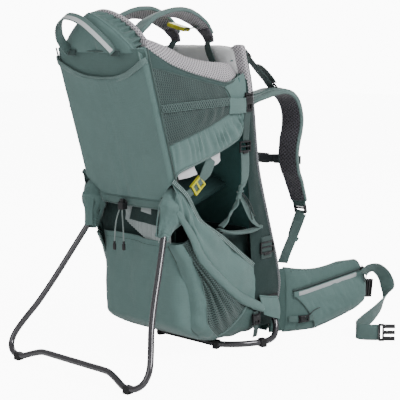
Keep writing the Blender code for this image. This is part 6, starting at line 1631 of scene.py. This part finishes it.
# padded mesh edge of the front pad and of the back's upper side
for side, s in SIDES:
    rings = []
    for i, z in enumerate(list(np.linspace(0.5560, 0.6700, 40)) + [0.6730, 0.6745]):
        x0 = float(np.interp(z, [0.556, 0.585, 0.610, 0.640, 0.668, 0.6745], [0.4010, 0.3985, 0.3950, 0.3850, 0.3770, 0.3790]))
        x1 = back_x(z) - 0.0002
        k = 1.0 if z <= 0.670 else (0.86 if z < 0.6735 else 0.45)
        cx, cy = (x0 + x1) / 2, 0.1260
        hx, hy = (x1 - x0) / 2 * k, 0.0155 * k
        hy *= float(np.interp(z, [0.556, 0.60, 0.665], [0.95, 1.0, 0.92]))
        ring = []
        for a in np.linspace(0, 2 * math.pi, 40, endpoint=False):
            c, sn = math.cos(a), math.sin(a)
            ring.append((cx + hx * math.copysign(abs(c) ** 0.62, c), s * (cy + hy * math.copysign(abs(sn) ** 0.62, sn)), z))
        rings.append(ring)
    ue = loft("upper_edge_mesh_" + side, rings, M["pale_mesh"], "carrier")
    tube("upper_edge_seam_" + side, [(back_x(z) - 0.001, s * 0.1392, z) for z in np.linspace(0.560, 0.664, 14)], 0.0013, M["thread_dark"], "carrier", 8, 50)


# frame tubes: smooth drawn tube over the same bends
STAND_HALF = [(0.0165, 0, 0.0290), (0.0165, 0.050, 0.0290), (0.0165, 0.090, 0.0290), (0.0155, 0.108, 0.0275), (0.0115, 0.131, 0.0205), (0.0062, 0.156, 0.0120), (0.0058, 0.174, 0.0110), (0.0075, 0.190, 0.0140),
              (0.0125, 0.2035, 0.0235), (0.0200, 0.2090, 0.0370), (0.0300, 0.2070, 0.0540), (0.0450, 0.1950, 0.0800), (0.0670, 0.1750, 0.1170), (0.0950, 0.1560, 0.1650), (0.1230, 0.1400, 0.2130),
              (0.1520, 0.1230, 0.2640), (0.1700, 0.1120, 0.2960), (0.1790, 0.1065, 0.3120), (0.1840, 0.1040, 0.3210), (0.1885, 0.1033, 0.3290)]
whole = [(x, -y, z) for x, y, z in STAND_HALF[::-1]] + STAND_HALF[1:]
kt = tube("kickstand_bent_tube", whole, 0.0066, M["tube"], "kickstand", 20, 260)
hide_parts("kickstand_tube")
BASE_HALF = [(0.360, 0.0, 0.0110), (0.360, 0.045, 0.0110), (0.360, 0.080, 0.0110), (0.368, 0.102, 0.0110), (0.390, 0.126, 0.0110), (0.420, 0.145, 0.0110), (0.452, 0.155, 0.0110),
             (0.480, 0.154, 0.0160), (0.498, 0.146, 0.0330), (0.5035, 0.136, 0.0540), (0.5010, 0.1300, 0.0700)]
whole = [(x, -y, z) for x, y, z in BASE_HALF[::-1]] + BASE_HALF[1:]
bt = tube("base_bent_tube", whole, 0.0070, M["tube"], "carrier", 20, 200)
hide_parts("base_frame")

# cloth at the bag's sides, which the kickstand folds up past: these pieces get their own copies of their meshes
for side, s in SIDES:
    for name in ("bag_pocket_net_", "bag_gusset_", "bag_gusset_seam_rear_", "bag_gusset_seam_front_", "bag_pocket_seam_", "bag_side_"):
        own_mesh(bpy.data.objects[name + side])
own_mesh(bpy.data.objects["bag_rim_stitch"])
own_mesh(bpy.data.objects["bag_rim_stitch_b"])
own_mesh(bpy.data.objects["lower_bag_cloth"])
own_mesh(bpy.data.objects["gap_painted_shade"])

# =============================================================== floor
me = bpy.data.meshes.new("floor")
R = 9.0
me.from_pydata([(-R, -R, 0), (R, -R, 0), (R, R, 0), (-R, R, 0)], [], [(0, 1, 2, 3)])
floor = bpy.data.objects.new("floor", me)
bpy.context.scene.collection.objects.link(floor)
fm = bpy.data.materials.new("floor")
fm.use_nodes = True
fb = fm.node_tree.nodes["Principled BSDF"]
fb.inputs["Base Color"].default_value = (0.93, 0.93, 0.93, 1)
fb.inputs["Roughness"].default_value = 0.9
lp_, em_, mx_ = fm.node_tree.nodes.new("ShaderNodeLightPath"), fm.node_tree.nodes.new("ShaderNodeEmission"), fm.node_tree.nodes.new("ShaderNodeAddShader")
mul_ = fm.node_tree.nodes.new("ShaderNodeMath")
mul_.operation = 'MULTIPLY'
mul_.inputs[1].default_value = 10.0
fm.node_tree.links.new(lp_.outputs["Is Camera Ray"], mul_.inputs[0])
fm.node_tree.links.new(mul_.outputs[0], em_.inputs["Strength"])
fm.node_tree.links.new(fb.outputs[0], mx_.inputs[0])
fm.node_tree.links.new(em_.outputs[0], mx_.inputs[1])
fm.node_tree.links.new(mx_.outputs[0], fm.node_tree.nodes["Material Output"].inputs[0])
me.materials.append(fm)
